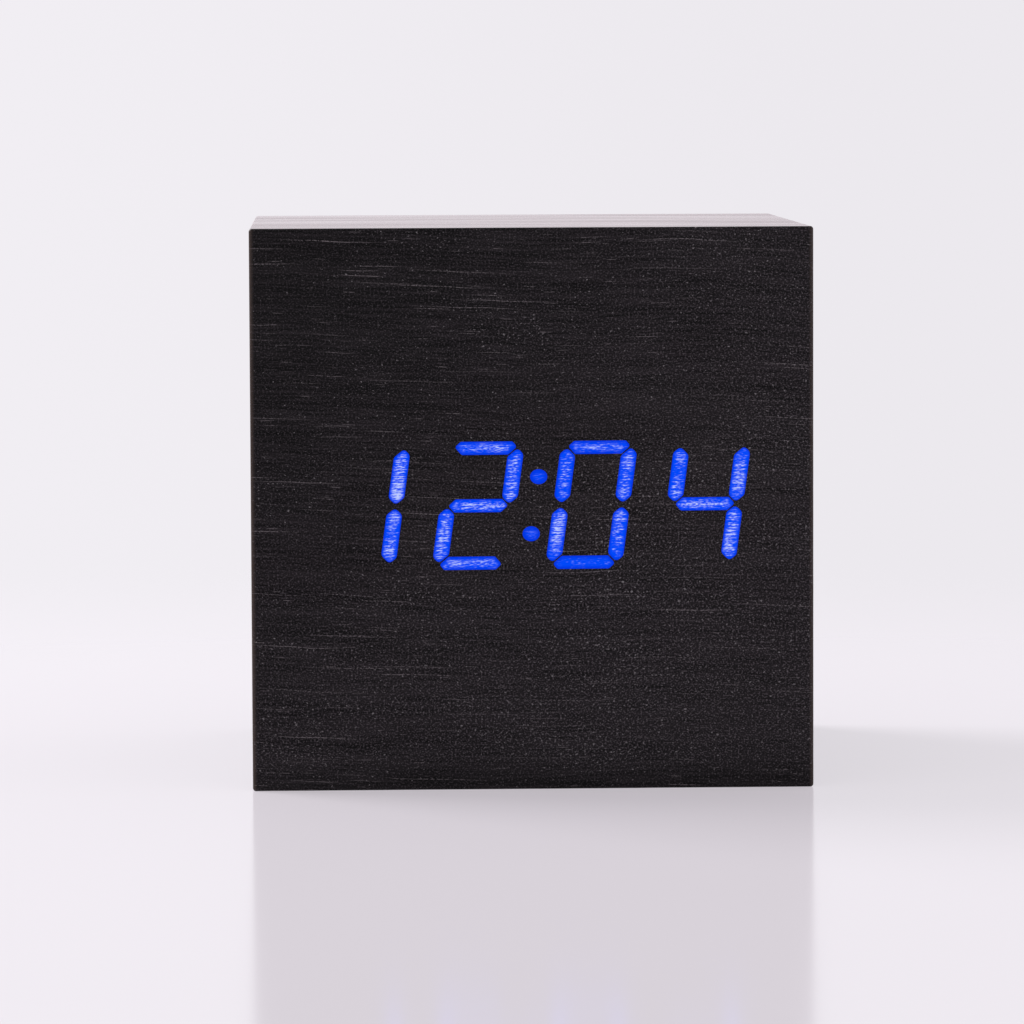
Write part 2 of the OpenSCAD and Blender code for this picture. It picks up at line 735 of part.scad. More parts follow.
module rear_cover() {
    color("#202022") difference() {
        union() {
            span([-cover_w / 2, cover_y0, inner_z0 + cover_gap],
                 [cover_w / 2, cover_y1, inner_z1 - cover_gap]);
            span([-tub_w / 2, tub_y0, tub_z0], [tub_w / 2, cover_y1, tub_z1]);
            for (side = [-1, 1]) {
                span([side * boss_x - rib_w / 2, tub_in_y0, tub_z1 - tub_wall / 2],
                     [side * boss_x + rib_w / 2, cover_y0 + cover_t / 2, board_z0]);
                rod_z(boss_d, board_z0 - boss_h, board_z0, side * boss_x, boss_y);
            }
        }
        span([-tub_in_w / 2, tub_in_y0, tub_in_z0], [tub_in_w / 2, cover_y1 + cut, tub_in_z1]);
        span([-door_open_w / 2, cover_y0, door_open_z0],
             [door_open_w / 2, cover_y1 + cut, door_open_z1]);
        rod_x(hinge_d + 2 * hinge_gap, -door_w / 2 - hinge_l - door_gap,
            door_w / 2 + hinge_l + door_gap, hinge_y, hinge_z);
        for (x = button_xs)
            rod_y(button_d + 2 * button_gap, cover_y0 - cut, cover_y1 + cut, x, control_z);
        rod_y(mic_hole_d, cover_y0 - cut, cover_y1 + cut, mic_x, control_z);
        rod_y(nozzle_d + 2 * behind_gap, cover_y0 - cut, cover_y1 + cut, inlet_x, control_z);
        knob_room(cover_y0 - cut, cover_y1 + cut);
        cover_screw_places() rod_y(cover_screw_d + 2 * clamp_gap, cover_y0 - cut, cover_y1 + cut, 0, 0);
        for (side = [-1, 1])
            rod_z(small_screw_d + 2 * pilot_gap, board_z0 - small_screw_bite - screw_end_gap,
                board_z0 + cut, side * boss_x, boss_y);
        terminal_tabs(tub_y0 - cut, tub_in_y0 + cut, tab_gap);
    }
}

module rear_cover_screws() {
    color("dimgray") cover_screw_places() translate([0, cover_y1, 0]) rotate([-90, 0, 0])
        pan_screw(cover_screw_d, cover_screw_l, cover_head_d, cover_head_h);
}

// A plate that hangs on two hinge pins at its foot, with a snap tongue at its top
module battery_door() {
    slit_x = (tongue_w + slit_w) / 2;
    grip_x = tongue_w / 2;
    ridge_z = door_z1 - tongue_l / 2 - (ridge_count - 1) * ridge_pitch / 2;
    color("#202022") union() {
        difference() {
            span([-door_w / 2, door_y0, hinge_z], [door_w / 2, cover_y1, door_z1]);
            for (side = [-1, 1])
                span([side * slit_x - slit_w / 2, door_y0 - cut, door_z1 - tongue_l],
                     [side * slit_x + slit_w / 2, cover_y1 + cut, door_z1 + cut]);
        }
        rod_x(door_t, -door_w / 2, door_w / 2, hinge_y, hinge_z);
        rod_x(hinge_d, -door_w / 2 - hinge_l, door_w / 2 + hinge_l, hinge_y, hinge_z);
        for (i = [0 : ridge_count - 1])
            span([-grip_x, cover_y1 - ridge_w, ridge_z + i * ridge_pitch - ridge_w / 2],
                 [grip_x, cover_y1 + ridge_w, ridge_z + i * ridge_pitch + ridge_w / 2]);
        span([-grip_x, door_y0 - catch_l, catch_z1 - catch_t],
             [grip_x, door_y0 + door_t / 2, catch_z1]);
    }
}

// Batteries and their contacts

module battery_cells() {
    color("darkslategray") for (i = [0 : last_cell]) {
        button_x = cell_way(i) * (tub_in_w / 2 - plate_t);
        base_x = button_x - cell_way(i) * cell_l;
        shoulder_x = button_x - cell_way(i) * button_end_h;
        rod_x(cell_d, min(base_x, shoulder_x), max(base_x, shoulder_x), cell_y, cell_z(i));
        rod_x(button_end_d, min(base_x, button_x), max(base_x, button_x), cell_y, cell_z(i));
    }
}

// The plate at one end of the compartment that joins the cells from first to last
module contact_plate(side, first, last) {
    x = side * (tub_in_w - plate_t) / 2;
    span([x - plate_t / 2, cell_y - cell_d / 2 + plate_inset, cell_z(last) - cell_d / 2 + plate_inset],
         [x + plate_t / 2, cell_y + cell_d / 2 - plate_inset, cell_z(first) + cell_d / 2 - plate_inset]);
}

// The two solder tabs, behind the first cell's button and the last cell's base
module terminal_tabs(y0, y1, gap) {
    for (terminal = TERMINALS) {
        x = terminal[1] * (tub_in_w - plate_t) / 2;
        z = cell_z(terminal[0]);
        span([x - plate_t / 2 - gap, y0, z - tab_w / 2 - gap],
             [x + plate_t / 2 + gap, y1, z + tab_w / 2 + gap]);
    }
}

module battery_contacts() {
    color("lightsteelblue") union() {
        for (terminal = TERMINALS) contact_plate(terminal[1], terminal[0], terminal[0]);
        for (i = [0 : 1 : last_cell - 1]) contact_plate(-cell_way(i), i, i + 1);
        terminal_tabs(tab_y0, cell_y, 0);
    }
}

// Centres and ring directions of a spring that stands on its plate and narrows towards its cell
SPRING_RINGS_A_TURN = 8;
spring_steps = SPRING_RINGS_A_TURN * spring_turns;
spring_rings = [for (i = [0 : spring_steps]) let (
        t = i / spring_steps,
        angle = 360 * spring_turns * t,
        across = [0, cos(angle), sin(angle)],
        r = (spring_wide_d + (spring_narrow_d - spring_wide_d) * t - spring_wire_d) / 2
    ) [[spring_wire_d / 2 + (spring_l - spring_wire_d) * t, 0, 0] + r * across, across, [1, 0, 0]]];
spring_least_gap = min([for (i = [0 : spring_steps], j = [0 : spring_steps])
    if (j - i >= SPRING_RINGS_A_TURN / 2) norm(spring_rings[j][0] - spring_rings[i][0])]) - spring_wire_d;
echo(spring_least_gap = spring_least_gap);

module battery_springs() {
    color("lightsteelblue") for (i = [0 : last_cell])
        translate([-cell_way(i) * (tub_in_w / 2 - plate_t), cell_y, cell_z(i)])
            rotate([0, 0, cell_way(i) < 0 ? 180 : 0])
                tube(spring_rings, spring_wire_d, 6);
}

// A lead from a solder tab up to the main board's underside, which it reaches shift further in
module battery_lead(terminal, shift) {
    steps = 12;
    z0 = cell_z(terminal[0]) + tab_w / 2;
    tab_x = (tub_in_w - plate_t) / 2;
    tube([for (k = [0 : steps]) let (t = k / steps) [
            [terminal[1] * (tab_x - shift * t - lead_bow * sin(180 * t)), lead_y, z0 + (board_z0 - z0) * t],
            [1, 0, 0], [0, 1, 0]
        ]], lead_d, 8);
}

module positive_lead() { color("firebrick") battery_lead(TERMINALS[0], 0); }
module negative_lead() { color("#181818") battery_lead(TERMINALS[1], lead_spacing); }

// Main board

module main_board() {
    color("seagreen") difference() {
        span([-board_w / 2, board_y0, board_z0], [board_w / 2, board_y1, board_z1]);
        for (side = [-1, 1])
            rod_z(small_screw_d + 2 * clamp_gap, board_z0 - cut, board_z1 + cut, side * boss_x, boss_y);
    }
}

module main_board_screws() {
    color("silver") for (side = [-1, 1]) translate([side * boss_x, boss_y, board_z1])
        pan_screw(small_screw_d, board_t + small_screw_bite, small_head_d, small_head_h);
}

module main_plug() {
    color("ivory") span([chip_x - plug_w / 2, main_plug_y0, board_z1],
        [chip_x + plug_w / 2, main_plug_y0 + plug_d, board_z1 + plug_h]);
}

// Push buttons and their switches

module push_switches() {
    color("#2a2a2c") for (x = button_xs) difference() {
        span([x - switch_side / 2, switch_y0, board_z1],
             [x + switch_side / 2, switch_y1, control_z + switch_side / 2]);
        rod_y(plunger_d + 2 * plunger_gap, switch_y1 - plunger_in - button_travel - plunger_gap,
            switch_y1 + cut, x, control_z);
    }
}

module plunger(x) {
    color("whitesmoke") rod_y(plunger_d, switch_y1 - plunger_in, button_flange_y0, x, control_z);
}

// A flanged cap, with a raised sign drawn as seen from behind the clock
module button(x) {
    button_y1 = cover_y1 + button_out;
    color("#2b2b2e") union() {
        rod_y(button_d, button_flange_y0, button_y1, x, control_z);
        rod_y(button_flange_d, button_flange_y0, button_flange_y1, x, control_z);
        translate([x, button_y1 - sign_h, control_z]) rotate([90, 0, 180])
            linear_extrude(2 * sign_h) children();
    }
}

// A triangle that points up where way is 1 and down where it is -1
module arrow_sign(way) {
    polygon([[-sign_w / 2, -way * sign_w / 3], [sign_w / 2, -way * sign_w / 3], [0, way * sign_w / 2]]);
}

module set_button() {
    button(set_x) difference() {
        circle(d = sign_w);
        circle(d = sign_w / 2);
    }
}

module down_button() { button(down_x) arrow_sign(-1); }
module up_button() { button(up_x) arrow_sign(1); }
module set_plunger() { plunger(set_x); }
module down_plunger() { plunger(down_x); }
module up_plunger() { plunger(up_x); }

// Slide switch

// The space that the knob sweeps, with its clearance
module knob_room(y0, y1) {
    span([slide_x - (knob_w + knob_travel) / 2 - knob_gap, y0, control_z - knob_h / 2 - knob_gap],
         [slide_x + (knob_w + knob_travel) / 2 + knob_gap, y1, control_z + knob_h / 2 + knob_gap]);
}

module slide_switch() {
    color("silver") difference() {
        union() {
            span([slide_x - slide_w / 2, behind_y - slide_depth, control_z - slide_h / 2],
                 [slide_x + slide_w / 2, behind_y, control_z + slide_h / 2]);
            for (side = [-1, 0, 1])
                span([slide_x + side * slide_w / 3 - leg_w / 2, behind_y - slide_depth, board_z1],
                     [slide_x + side * slide_w / 3 + leg_w / 2, behind_y - slide_depth + leg_w, control_z]);
        }
        knob_room(knob_y0 - knob_gap, behind_y + cut);
    }
}

module slide_knob() {
    color("whitesmoke") span([knob_x - knob_w / 2, knob_y0, control_z - knob_h / 2],
        [knob_x + knob_w / 2, cover_y1 + knob_out, control_z + knob_h / 2]);
}

// Power inlet

module power_inlet() {
    color("#1a1a1c") difference() {
        union() {
            span([inlet_x - inlet_w / 2, inlet_y0, board_z1],
                 [inlet_x + inlet_w / 2, behind_y, board_z1 + inlet_h]);
            rod_y(nozzle_d, inlet_y0 + inlet_l / 2, cover_y1, inlet_x, control_z);
        }
        rod_y(inlet_bore_d, cover_y1 - inlet_bore_l, cover_y1 + cut, inlet_x, control_z);
    }
}

module power_pin() {
    color("gold") rod_y(inlet_pin_d, cover_y1 - inlet_bore_l, cover_y1 - inlet_pin_set, inlet_x, control_z);
}

// Parts soldered to the main board

module microphone() {
    color("silver") union() {
        rod_y(mic_d, mic_y0, behind_y, mic_x, control_z);
        for (side = [-1, 1])
            span([mic_x + side * mic_d / 4 - leg_w / 2, mic_y0, board_z1],
                 [mic_x + side * mic_d / 4 + leg_w / 2, mic_y0 + leg_w, control_z]);
    }
}

module clock_chip() {
    color("#161616") span([chip_x - chip_w / 2, chip_y - chip_d / 2, board_z1 + chip_leg_w / 2],
        [chip_x + chip_w / 2, chip_y + chip_d / 2, board_z1 + chip_h]);
}

// Each leg leaves the body's side at half its height and steps down to the board
module clock_chip_legs() {
    leg_z = board_z1 + chip_h / 2;
    pitch = chip_w / chip_legs;
    color("silver") for (side = [-1, 1], i = [0 : chip_legs - 1]) {
        x = chip_x - chip_w / 2 + (i + 0.5) * pitch;
        face_y = chip_y + side * chip_d / 2;
        step_y = face_y + side * chip_leg_l / 2;
        toe_y = face_y + side * chip_leg_l;
        span([x - chip_leg_w / 2, min(face_y, step_y), leg_z - chip_leg_w / 2],
             [x + chip_leg_w / 2, max(face_y, step_y), leg_z + chip_leg_w / 2]);
        span([x - chip_leg_w / 2, min(step_y, step_y - side * chip_leg_w / 2), board_z1],
             [x + chip_leg_w / 2, max(step_y, step_y - side * chip_leg_w / 2), leg_z + chip_leg_w / 2]);
        span([x - chip_leg_w / 2, min(step_y - side * chip_leg_w / 2, toe_y), board_z1],
             [x + chip_leg_w / 2, max(step_y - side * chip_leg_w / 2, toe_y), board_z1 + chip_leg_w / 2]);
    }
}

module clock_crystal() {
    color("silver") rod_x(crystal_d, chip_x - crystal_l / 2, chip_x + crystal_l / 2,
        crystal_y, board_z1 + crystal_d / 2);
}

module coin_cell_holder() {
    top = board_z1 + holder_wall + coin_t;
    color("#1a1a1c") difference() {
        span([coin_x - holder_side / 2, coin_y - holder_side / 2, board_z1],
             [coin_x + holder_side / 2, coin_y + holder_side / 2, top]);
        rod_z(coin_d + 2 * coin_gap, board_z1 + holder_wall, top + cut, coin_x, coin_y);
        span([coin_x - holder_slot / 2, coin_y - holder_side / 2 - cut, board_z1 + holder_wall],
             [coin_x + holder_slot / 2, coin_y, top + cut]);
    }
}

module coin_cell() {
    color("silver") union() {
        rod_z(coin_d, board_z1 + holder_wall, board_z1 + holder_wall + coin_t / 2, coin_x, coin_y);
        rod_z(coin_d - 2 * coin_step, board_z1 + holder_wall,
            board_z1 + holder_wall + coin_t, coin_x, coin_y);
    }
}

module buzzer() {
    color("#1a1a1c") difference() {
        rod_z(buzzer_d, board_z1, board_z1 + buzzer_h, buzzer_x, buzzer_y);
        rod_z(buzzer_hole_d, board_z1 + buzzer_h / 2, board_z1 + buzzer_h + cut, buzzer_x, buzzer_y);
    }
}

module capacitor() {
    color("midnightblue") rod_z(capacitor_d, board_z1, board_z1 + capacitor_h, buzzer_x, capacitor_y);
}

front_panel();
top_panel();
bottom_panel();
left_panel();
right_panel();
front_veneer();
top_veneer();
bottom_veneer();
left_veneer();
right_veneer();
rear_edge_band();
corner_blocks();
lit_hour_tens();
lit_hour_units();
lit_colon();
lit_minute_tens();
lit_minute_units();
diffuser_film();
reflector();
display_board();
display_leds();
display_screws();
display_plug();
ribbon_cable();
rear_cover();
rear_cover_screws();
battery_door();
battery_cells();
battery_contacts();
battery_springs();
positive_lead();
negative_lead();
main_board();
main_board_screws();
main_plug();
push_switches();
set_button();
set_plunger();
down_button();
down_plunger();
up_button();
up_plunger();
slide_switch();
slide_knob();
power_inlet();
power_pin();
microphone();
clock_chip();
clock_chip_legs();
clock_crystal();
coin_cell_holder();
coin_cell();
buzzer();
capacitor();
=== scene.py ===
# %% [markdown]
# # A black wooden cube clock
# The clock is a cube of fibreboard, wrapped in thin black-stained veneer. Blue figures shine through the
# front veneer, and the controls and the battery door are on a plastic cover at the back. The CAD model
# already says where every part is and how it moves. This lesson loads it as a fixed frame and then gives
# each part its real surface: eased wood edges, open pores, glowing segments, moulded plastic.

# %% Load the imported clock
import json
import math

import bmesh
import bpy
from mathutils import Matrix, Vector, noise

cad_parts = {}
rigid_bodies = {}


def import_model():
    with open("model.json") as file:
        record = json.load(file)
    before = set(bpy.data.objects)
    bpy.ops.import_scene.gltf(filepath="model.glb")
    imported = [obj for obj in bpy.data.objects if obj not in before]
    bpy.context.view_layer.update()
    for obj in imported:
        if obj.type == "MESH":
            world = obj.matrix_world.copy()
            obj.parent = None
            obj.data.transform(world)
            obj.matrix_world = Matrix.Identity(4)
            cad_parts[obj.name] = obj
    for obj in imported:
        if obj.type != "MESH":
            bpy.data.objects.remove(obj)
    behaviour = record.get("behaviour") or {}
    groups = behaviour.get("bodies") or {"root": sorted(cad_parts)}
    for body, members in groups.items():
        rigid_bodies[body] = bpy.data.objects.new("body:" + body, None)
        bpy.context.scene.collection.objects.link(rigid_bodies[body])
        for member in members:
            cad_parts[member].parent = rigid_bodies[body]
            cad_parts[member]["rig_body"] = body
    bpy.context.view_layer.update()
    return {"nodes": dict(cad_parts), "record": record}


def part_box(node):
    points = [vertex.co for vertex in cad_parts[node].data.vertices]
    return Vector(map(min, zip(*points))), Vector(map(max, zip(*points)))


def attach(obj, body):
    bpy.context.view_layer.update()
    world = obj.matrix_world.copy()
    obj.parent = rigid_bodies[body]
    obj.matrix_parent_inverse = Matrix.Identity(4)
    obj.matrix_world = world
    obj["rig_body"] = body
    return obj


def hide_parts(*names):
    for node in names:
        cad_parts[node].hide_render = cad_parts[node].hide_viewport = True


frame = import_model()
nodes = frame["nodes"]

# %% [markdown]
# ## Millimetres
# Blender counts in metres, but a clock maker thinks in millimetres. Every shape below is drawn in
# millimetres and shrunk once, when it becomes an object. The sizes come from the boxes of the CAD parts, so
# a new pack with another size still fits.

# %% Read the main sizes from the frame
MM = 0.001


def box_mm(node):
    """A CAD part's lowest and highest corner in millimetres."""
    low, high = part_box(node)
    return low / MM, high / MM


front_low, front_high = box_mm("front_veneer")
band_low, band_high = box_mm("rear_edge_band")
half_side, cube_h = front_high.x, front_high.z
mid_z = cube_h / 2
front_y, front_seam_y = front_low.y, front_high.y
rear_seam_y, rear_y = band_low.y, band_high.y
veneer_t = front_seam_y - front_y
print(f"cube {2 * half_side:.1f} x {rear_y - front_y:.1f} x {cube_h:.1f} mm, veneer {veneer_t:.2f} mm")

# %% [markdown]
# ## Writing shaders as sums
# A finish is a net of shader nodes. Drawing the net by hand is fine for one material, but a formula is
# easier to read and to change. `Wire` stands for one output socket, and Python's own operators on it add
# Math nodes. `Net` owns a node tree: its `node` method adds any other node, with the settings first and
# the sockets after. `Finish` is the net of a material.


# %% The shader kit
class Wire:
    """One output socket of a net. Sums on it add Math nodes."""

    def __init__(self, net, socket):
        self.net = net
        self.socket = socket

    def math(self, operation, first, second):
        return self.net.node("ShaderNodeMath", {"operation": operation}, {0: first, 1: second})

    def __add__(self, other):
        return self.math("ADD", self, other)

    def __sub__(self, other):
        return self.math("SUBTRACT", self, other)

    def __rsub__(self, other):
        return self.math("SUBTRACT", other, self)

    def __mul__(self, other):
        return self.math("MULTIPLY", self, other)

    def __gt__(self, other):
        return self.math("GREATER_THAN", self, other)

    def __lt__(self, other):
        return self.math("LESS_THAN", self, other)

    __radd__ = __add__
    __rmul__ = __mul__

    def swing(self, amount):
        """A cloud's rise and fall about its middle value, half of the amount to each side."""
        return (self - 0.5) * amount

    def beside(self, name):
        """Another output of the same node."""
        return Wire(self.net, self.socket.node.outputs[name])


class Net:
    """A node tree, and the ways to add nodes to it."""

    def __init__(self, tree):
        self.tree = tree

    def node(self, kind, settings=None, sockets=None, out=0):
        made = self.tree.nodes.new(kind)
        for key, value in (settings or {}).items():
            setattr(made, key, value)
        for key, value in (sockets or {}).items():
            self.join(made.inputs[key], value)
        return Wire(self, made.outputs[out])

    def join(self, socket, value):
        if isinstance(value, Wire):
            self.tree.links.new(value.socket, socket)
        else:
            socket.default_value = value

    def looked_at(self):
        """1 where the camera looks, also by way of a mirror or glass, and 0 for light that spreads."""
        straight = self.node("ShaderNodeLightPath", out="Is Camera Ray")
        return straight + straight.beside("Is Glossy Ray") + straight.beside("Is Transmission Ray") > 0.5

    def place(self):
        """Where a point of the surface is on the clock, in millimetres."""
        metres = self.node("ShaderNodeTexCoord", out="Object")
        return self.stretch(metres, (1 / MM, 1 / MM, 1 / MM))

    def stretch(self, vector, scale):
        return self.node("ShaderNodeVectorMath", {"operation": "MULTIPLY"}, {0: vector, 1: scale})

    def parts(self, vector):
        """The x, y and z of a vector."""
        x = self.node("ShaderNodeSeparateXYZ", {}, {0: vector})
        return x, x.beside("Y"), x.beside("Z")

    def vector(self, x, y, z):
        return self.node("ShaderNodeCombineXYZ", {}, {0: x, 1: y, 2: z})

    def cloud(self, vector, scale=1.0, detail=2.0, rough=0.5):
        return self.node("ShaderNodeTexNoise", {},
                         {"Vector": vector, "Scale": scale, "Detail": detail, "Roughness": rough})

    def grain_cloud(self, run, level, along, across, seed, detail=1):
        """A cloud that changes at one pace along the grain and at another across it."""
        return self.cloud(self.vector(run * along, level * across, seed), detail=detail)

    def ease(self, value, low, high):
        """0 below low, 1 above high, and a smooth step between. Low may be the larger."""
        return self.node("ShaderNodeMapRange", {"interpolation_type": "SMOOTHSTEP"},
                         {"Value": value, "From Min": low, "From Max": high})

    def blend(self, amount, one, two):
        return self.node("ShaderNodeMix", {"data_type": "RGBA"}, {0: amount, 6: one, 7: two}, out=2)


class Finish(Net):
    """A material with a Principled shader."""

    def __init__(self, name, **constants):
        self.material = bpy.data.materials.new(name)
        self.material.use_nodes = True
        super().__init__(self.material.node_tree)
        self.shader = self.tree.nodes["Principled BSDF"]
        for key, value in constants.items():
            self.feed(key.replace("_", " "), value)

    def feed(self, name, value):
        self.join(self.shader.inputs[name], value)

    def emboss(self, height, depth_mm, strength):
        self.feed("Normal", self.node("ShaderNodeBump", {},
                                      {"Strength": strength, "Distance": depth_mm * MM, "Height": height}))


def tint(red, green, blue):
    """A colour as it is seen on a screen, 0 to 255, turned into the light that Blender mixes."""
    light = [v / 255 for v in (red, green, blue)]
    return tuple(v / 12.92 if v <= 0.04045 else ((v + 0.055) / 1.055) ** 2.4 for v in light) + (1.0,)


print("dark stain", [round(v, 4) for v in tint(33, 29, 32)])

# %% [markdown]
# ## From drawn rings to a solid piece
# Most parts here are rings of points that are joined by bands of faces and closed by flat caps, much as a
# basket is woven round its rim. A few helpers do that with bmesh, and `make_piece` turns the finished mesh
# into an object that rides on its CAD body and stands for its CAD part. It shades smooth across shallow
# angles only, and weighted normals keep the large flat faces looking flat beside their rounded edges.

# %% Mesh helpers
CREASE = 35


def add_ring(mesh, points):
    return [mesh.verts.new(p) for p in points]


def ring_at(mesh, points, y):
    """A ring of points of the front view, x and z, at the depth y."""
    return add_ring(mesh, [(p.x, y, p.y) for p in points])


def skin(mesh, *rings):
    """Bands of faces from each ring to the next. The rings have the same number of points."""
    for one, two in zip(rings, rings[1:]):
        for k in range(len(one)):
            n = (k + 1) % len(one)
            mesh.faces.new((one[k], one[n], two[n], two[k]))


def edges_round(mesh, ring):
    pairs = [(ring[k - 1], ring[k]) for k in range(len(ring))]
    return [mesh.edges.get(pair) or mesh.edges.new(pair) for pair in pairs]


def close_flat(mesh, *rings):
    """Fills the flat area inside the first ring, apart from the other rings, which stay open."""
    edges = [e for ring in rings for e in edges_round(mesh, ring)]
    bmesh.ops.triangle_fill(mesh, edges=edges, use_beauty=True, use_dissolve=False)


def loft(mesh, rings):
    """Closed solid through rings: bands between them and a flat cap at each end."""
    made = [add_ring(mesh, ring) for ring in rings]
    skin(mesh, *made)
    mesh.faces.new(made[0])
    mesh.faces.new(made[-1])


def add_object(name, data):
    """An object of the scene that shows a mesh, a lamp or a camera."""
    made = bpy.data.objects.new(name, data)
    bpy.context.scene.collection.objects.link(made)
    return made


def make_piece(name, mesh, finishes, body, stands_for, crease=CREASE):
    """Turns a mesh drawn in millimetres into an object of the clock."""
    bmesh.ops.scale(mesh, vec=(MM, MM, MM), verts=mesh.verts)
    bmesh.ops.recalc_face_normals(mesh, faces=mesh.faces)
    data = bpy.data.meshes.new(name)
    mesh.to_mesh(data)
    mesh.free()
    data.polygons.foreach_set("use_smooth", [True] * len(data.polygons))
    data.set_sharp_from_angle(angle=math.radians(crease))
    for finish in finishes:
        data.materials.append(finish.material)
    piece = add_object(name, data)
    piece.modifiers.new("even_shading", "WEIGHTED_NORMAL").keep_sharp = True
    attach(piece, body)
    if stands_for:
        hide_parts(*stands_for)
    print("made", name, "with", len(data.polygons), "faces")


print("edges under", CREASE, "degrees shade smooth")

# %% [markdown]
# ## Black open-pored veneer
# Stained oak or ash veneer keeps its pores. Up close the surface is nearly black, peppered with fine specks,
# and crossed by thin pale lines of open pores that follow the grain: long ones, short ones and mere dashes,
# all denser in some bands than in others. The pale colour of these lines and of the brightest specks is
# painted
# light: it stands for glints on the pore edges. The ends of the sheet are rubbed a little paler, and the foot
# of the cube is a little darker. An image would tile, so the grain is worked out from the place of each
# point.
# The coordinates bend a little, so that the lines sway, and Voronoi cells that are stretched a hundred times
# along the grain leave one line each. A thin coat with streaks in its polish mirrors the studio at a
# grazing angle. The same recipe serves every face: it only needs to know which way the grain runs and which
# way lies across it.

# %% Grain of the veneer
CUBE_SPANS = [(0.0, half_side), ((front_y + rear_y) / 2, (rear_y - front_y) / 2), (mid_z, mid_z)]
# The lines lean, take a soft step at one place, and sway and ripple.
LEAN, STEP, STEP_AT, STEP_PACE = 0.045, 0.63, 8, 0.11
SWAY, RIPPLE = 1.2, 0.4
# Each cloud: its pace along and across the grain, its seed, and its detail where that isn't 1.
GRAIN_CLOUDS = {
    "bands": (0.02, 0.32, 2.0, 2), "tone": (0.03, 0.5, 5.0, 3), "patches": (0.06, 0.1, 9.0, 2),
    "polish": (0.02, 0.15, 14.0, 2), "beads": (3.6, 4.0, 1.0), "fibre": (0.12, 3.4, 12.0),
    "dust": (4.4, 5.2, 7.0), "grit": (2.8, 3.6, 4.0),
}
# Each kind of pore line, whose pale colour is a painted glint of light on its edges: length and spacing in
# millimetres, the share of places that have one, its thickness as a share of the spacing, and its seed.
PORE_GLINT_LINES = {"long": (96, 0.72, 0.74, 0.08, 3.3), "short": (36, 0.6, 0.44, 0.085, 17.7),
             "dashes": (9.0, 0.5, 0.26, 0.12, 31.1)}
GATE_SOFT = 0.08
# A face is more worn towards its lower right, and rubbed at both ends of the grain. The wear is cut back
# near the bottom of the cube, so that the foot is darker.
WORN_SPAN, WORN_MIDDLE = (-104, 10), 0.4
FOOT_SPAN, FOOT_DARKENING = (5.0, 0.5), 0.8
RUBBED_WIDTH = 0.6


def wood_grain(finish, along, across, offset=(0.0, 0.0)):
    """The masks of the veneer from 0 to 1. Along and across are the axes 0, 1 or 2."""
    axes = finish.parts(finish.place())
    run, rise = axes[along] + offset[0], axes[across] + offset[1]
    sway = finish.grain_cloud(run, rise, 0.035, 0.05, offset[0])
    ripple = finish.grain_cloud(run, rise, 0.16, 0.2, offset[1])
    step = finish.node("ShaderNodeMath", {"operation": "TANH"}, {0: (run - STEP_AT) * STEP_PACE})
    level = rise + run * LEAN - step * STEP + sway.swing(SWAY) + ripple.swing(RIPPLE)
    grain = {name: finish.grain_cloud(run, level, *row) for name, row in GRAIN_CLOUDS.items()}
    bands, patches = grain["bands"], grain["patches"]
    foot = finish.ease(axes[2], *FOOT_SPAN)
    worn = finish.ease(axes[0] - axes[2], *WORN_SPAN) * (1 - foot * FOOT_DARKENING)
    wear = worn - WORN_MIDDLE

    def lines(long, apart, share, thin, seed):
        spot = finish.vector(run * (1 / long) + seed, level * (1 / apart) + seed, 0.0)
        near = finish.node("ShaderNodeTexVoronoi", {"voronoi_dimensions": "2D"},
                           {"Vector": spot, "Scale": 1.0}, out="Distance")
        _, force, chance = finish.parts(near.beside("Color"))
        gate = finish.ease(chance + bands.swing(1.2), 1 - share, 1 - share + GATE_SOFT)
        return finish.ease(near, thin, thin * 0.3) * gate * (0.4 + force * 0.6)

    broken = finish.ease(grain["beads"] + patches.swing(0.4) - wear * 0.1, 0.33, 0.6)
    # The pore lines: their pale colour in the stain is a painted glint of light on the pore edges.
    for kind, row in PORE_GLINT_LINES.items():
        grain[kind] = lines(*row) * broken
    # The specks mask, painted later as pale glints of light in the pores.
    specks = grain["grit"] + patches.swing(0.16) + bands.swing(0.1) + wear * 0.05
    middle, half = CUBE_SPANS[along]
    to_end = half - finish.node("ShaderNodeMath", {"operation": "ABSOLUTE"}, {0: axes[along] - middle})
    grain["specks"] = finish.ease(specks, 0.66, 0.8)
    grain["rubbed"] = finish.ease(to_end + grain["dust"].swing(0.6), RUBBED_WIDTH, 0.0)
    grain["worn"] = worn
    return grain


print("veneer clouds", len(GRAIN_CLOUDS), "and kinds of glinting pore lines", len(PORE_GLINT_LINES))

# %% Finishes of the veneer
# Each mark: its mask, its strength and its colour. Later marks lie over earlier ones. The specks and the
# three kinds of pore lines are painted highlights, glints of light on the pore edges; the rubbed ends are
# wear.
MARKS = [("specks", 0.8, (132, 126, 130)), ("dashes", 0.85, (114, 106, 110)),
         ("short", 0.95, (118, 110, 114)), ("long", 1.0, (120, 112, 116)), ("rubbed", 0.6, (88, 75, 70))]
# Each face: the axis along the grain, the axis across it, and a shift that gives it lines of its own.
VENEER_FACES = {"front": (0, 2, (0.0, 0.0)), "top": (0, 1, (5.0, 61.0)), "side": (1, 2, (3.0, 23.0)),
                "upright": (2, 0, (-30.0, 40.0))}
PORE_DEPTH = 0.02


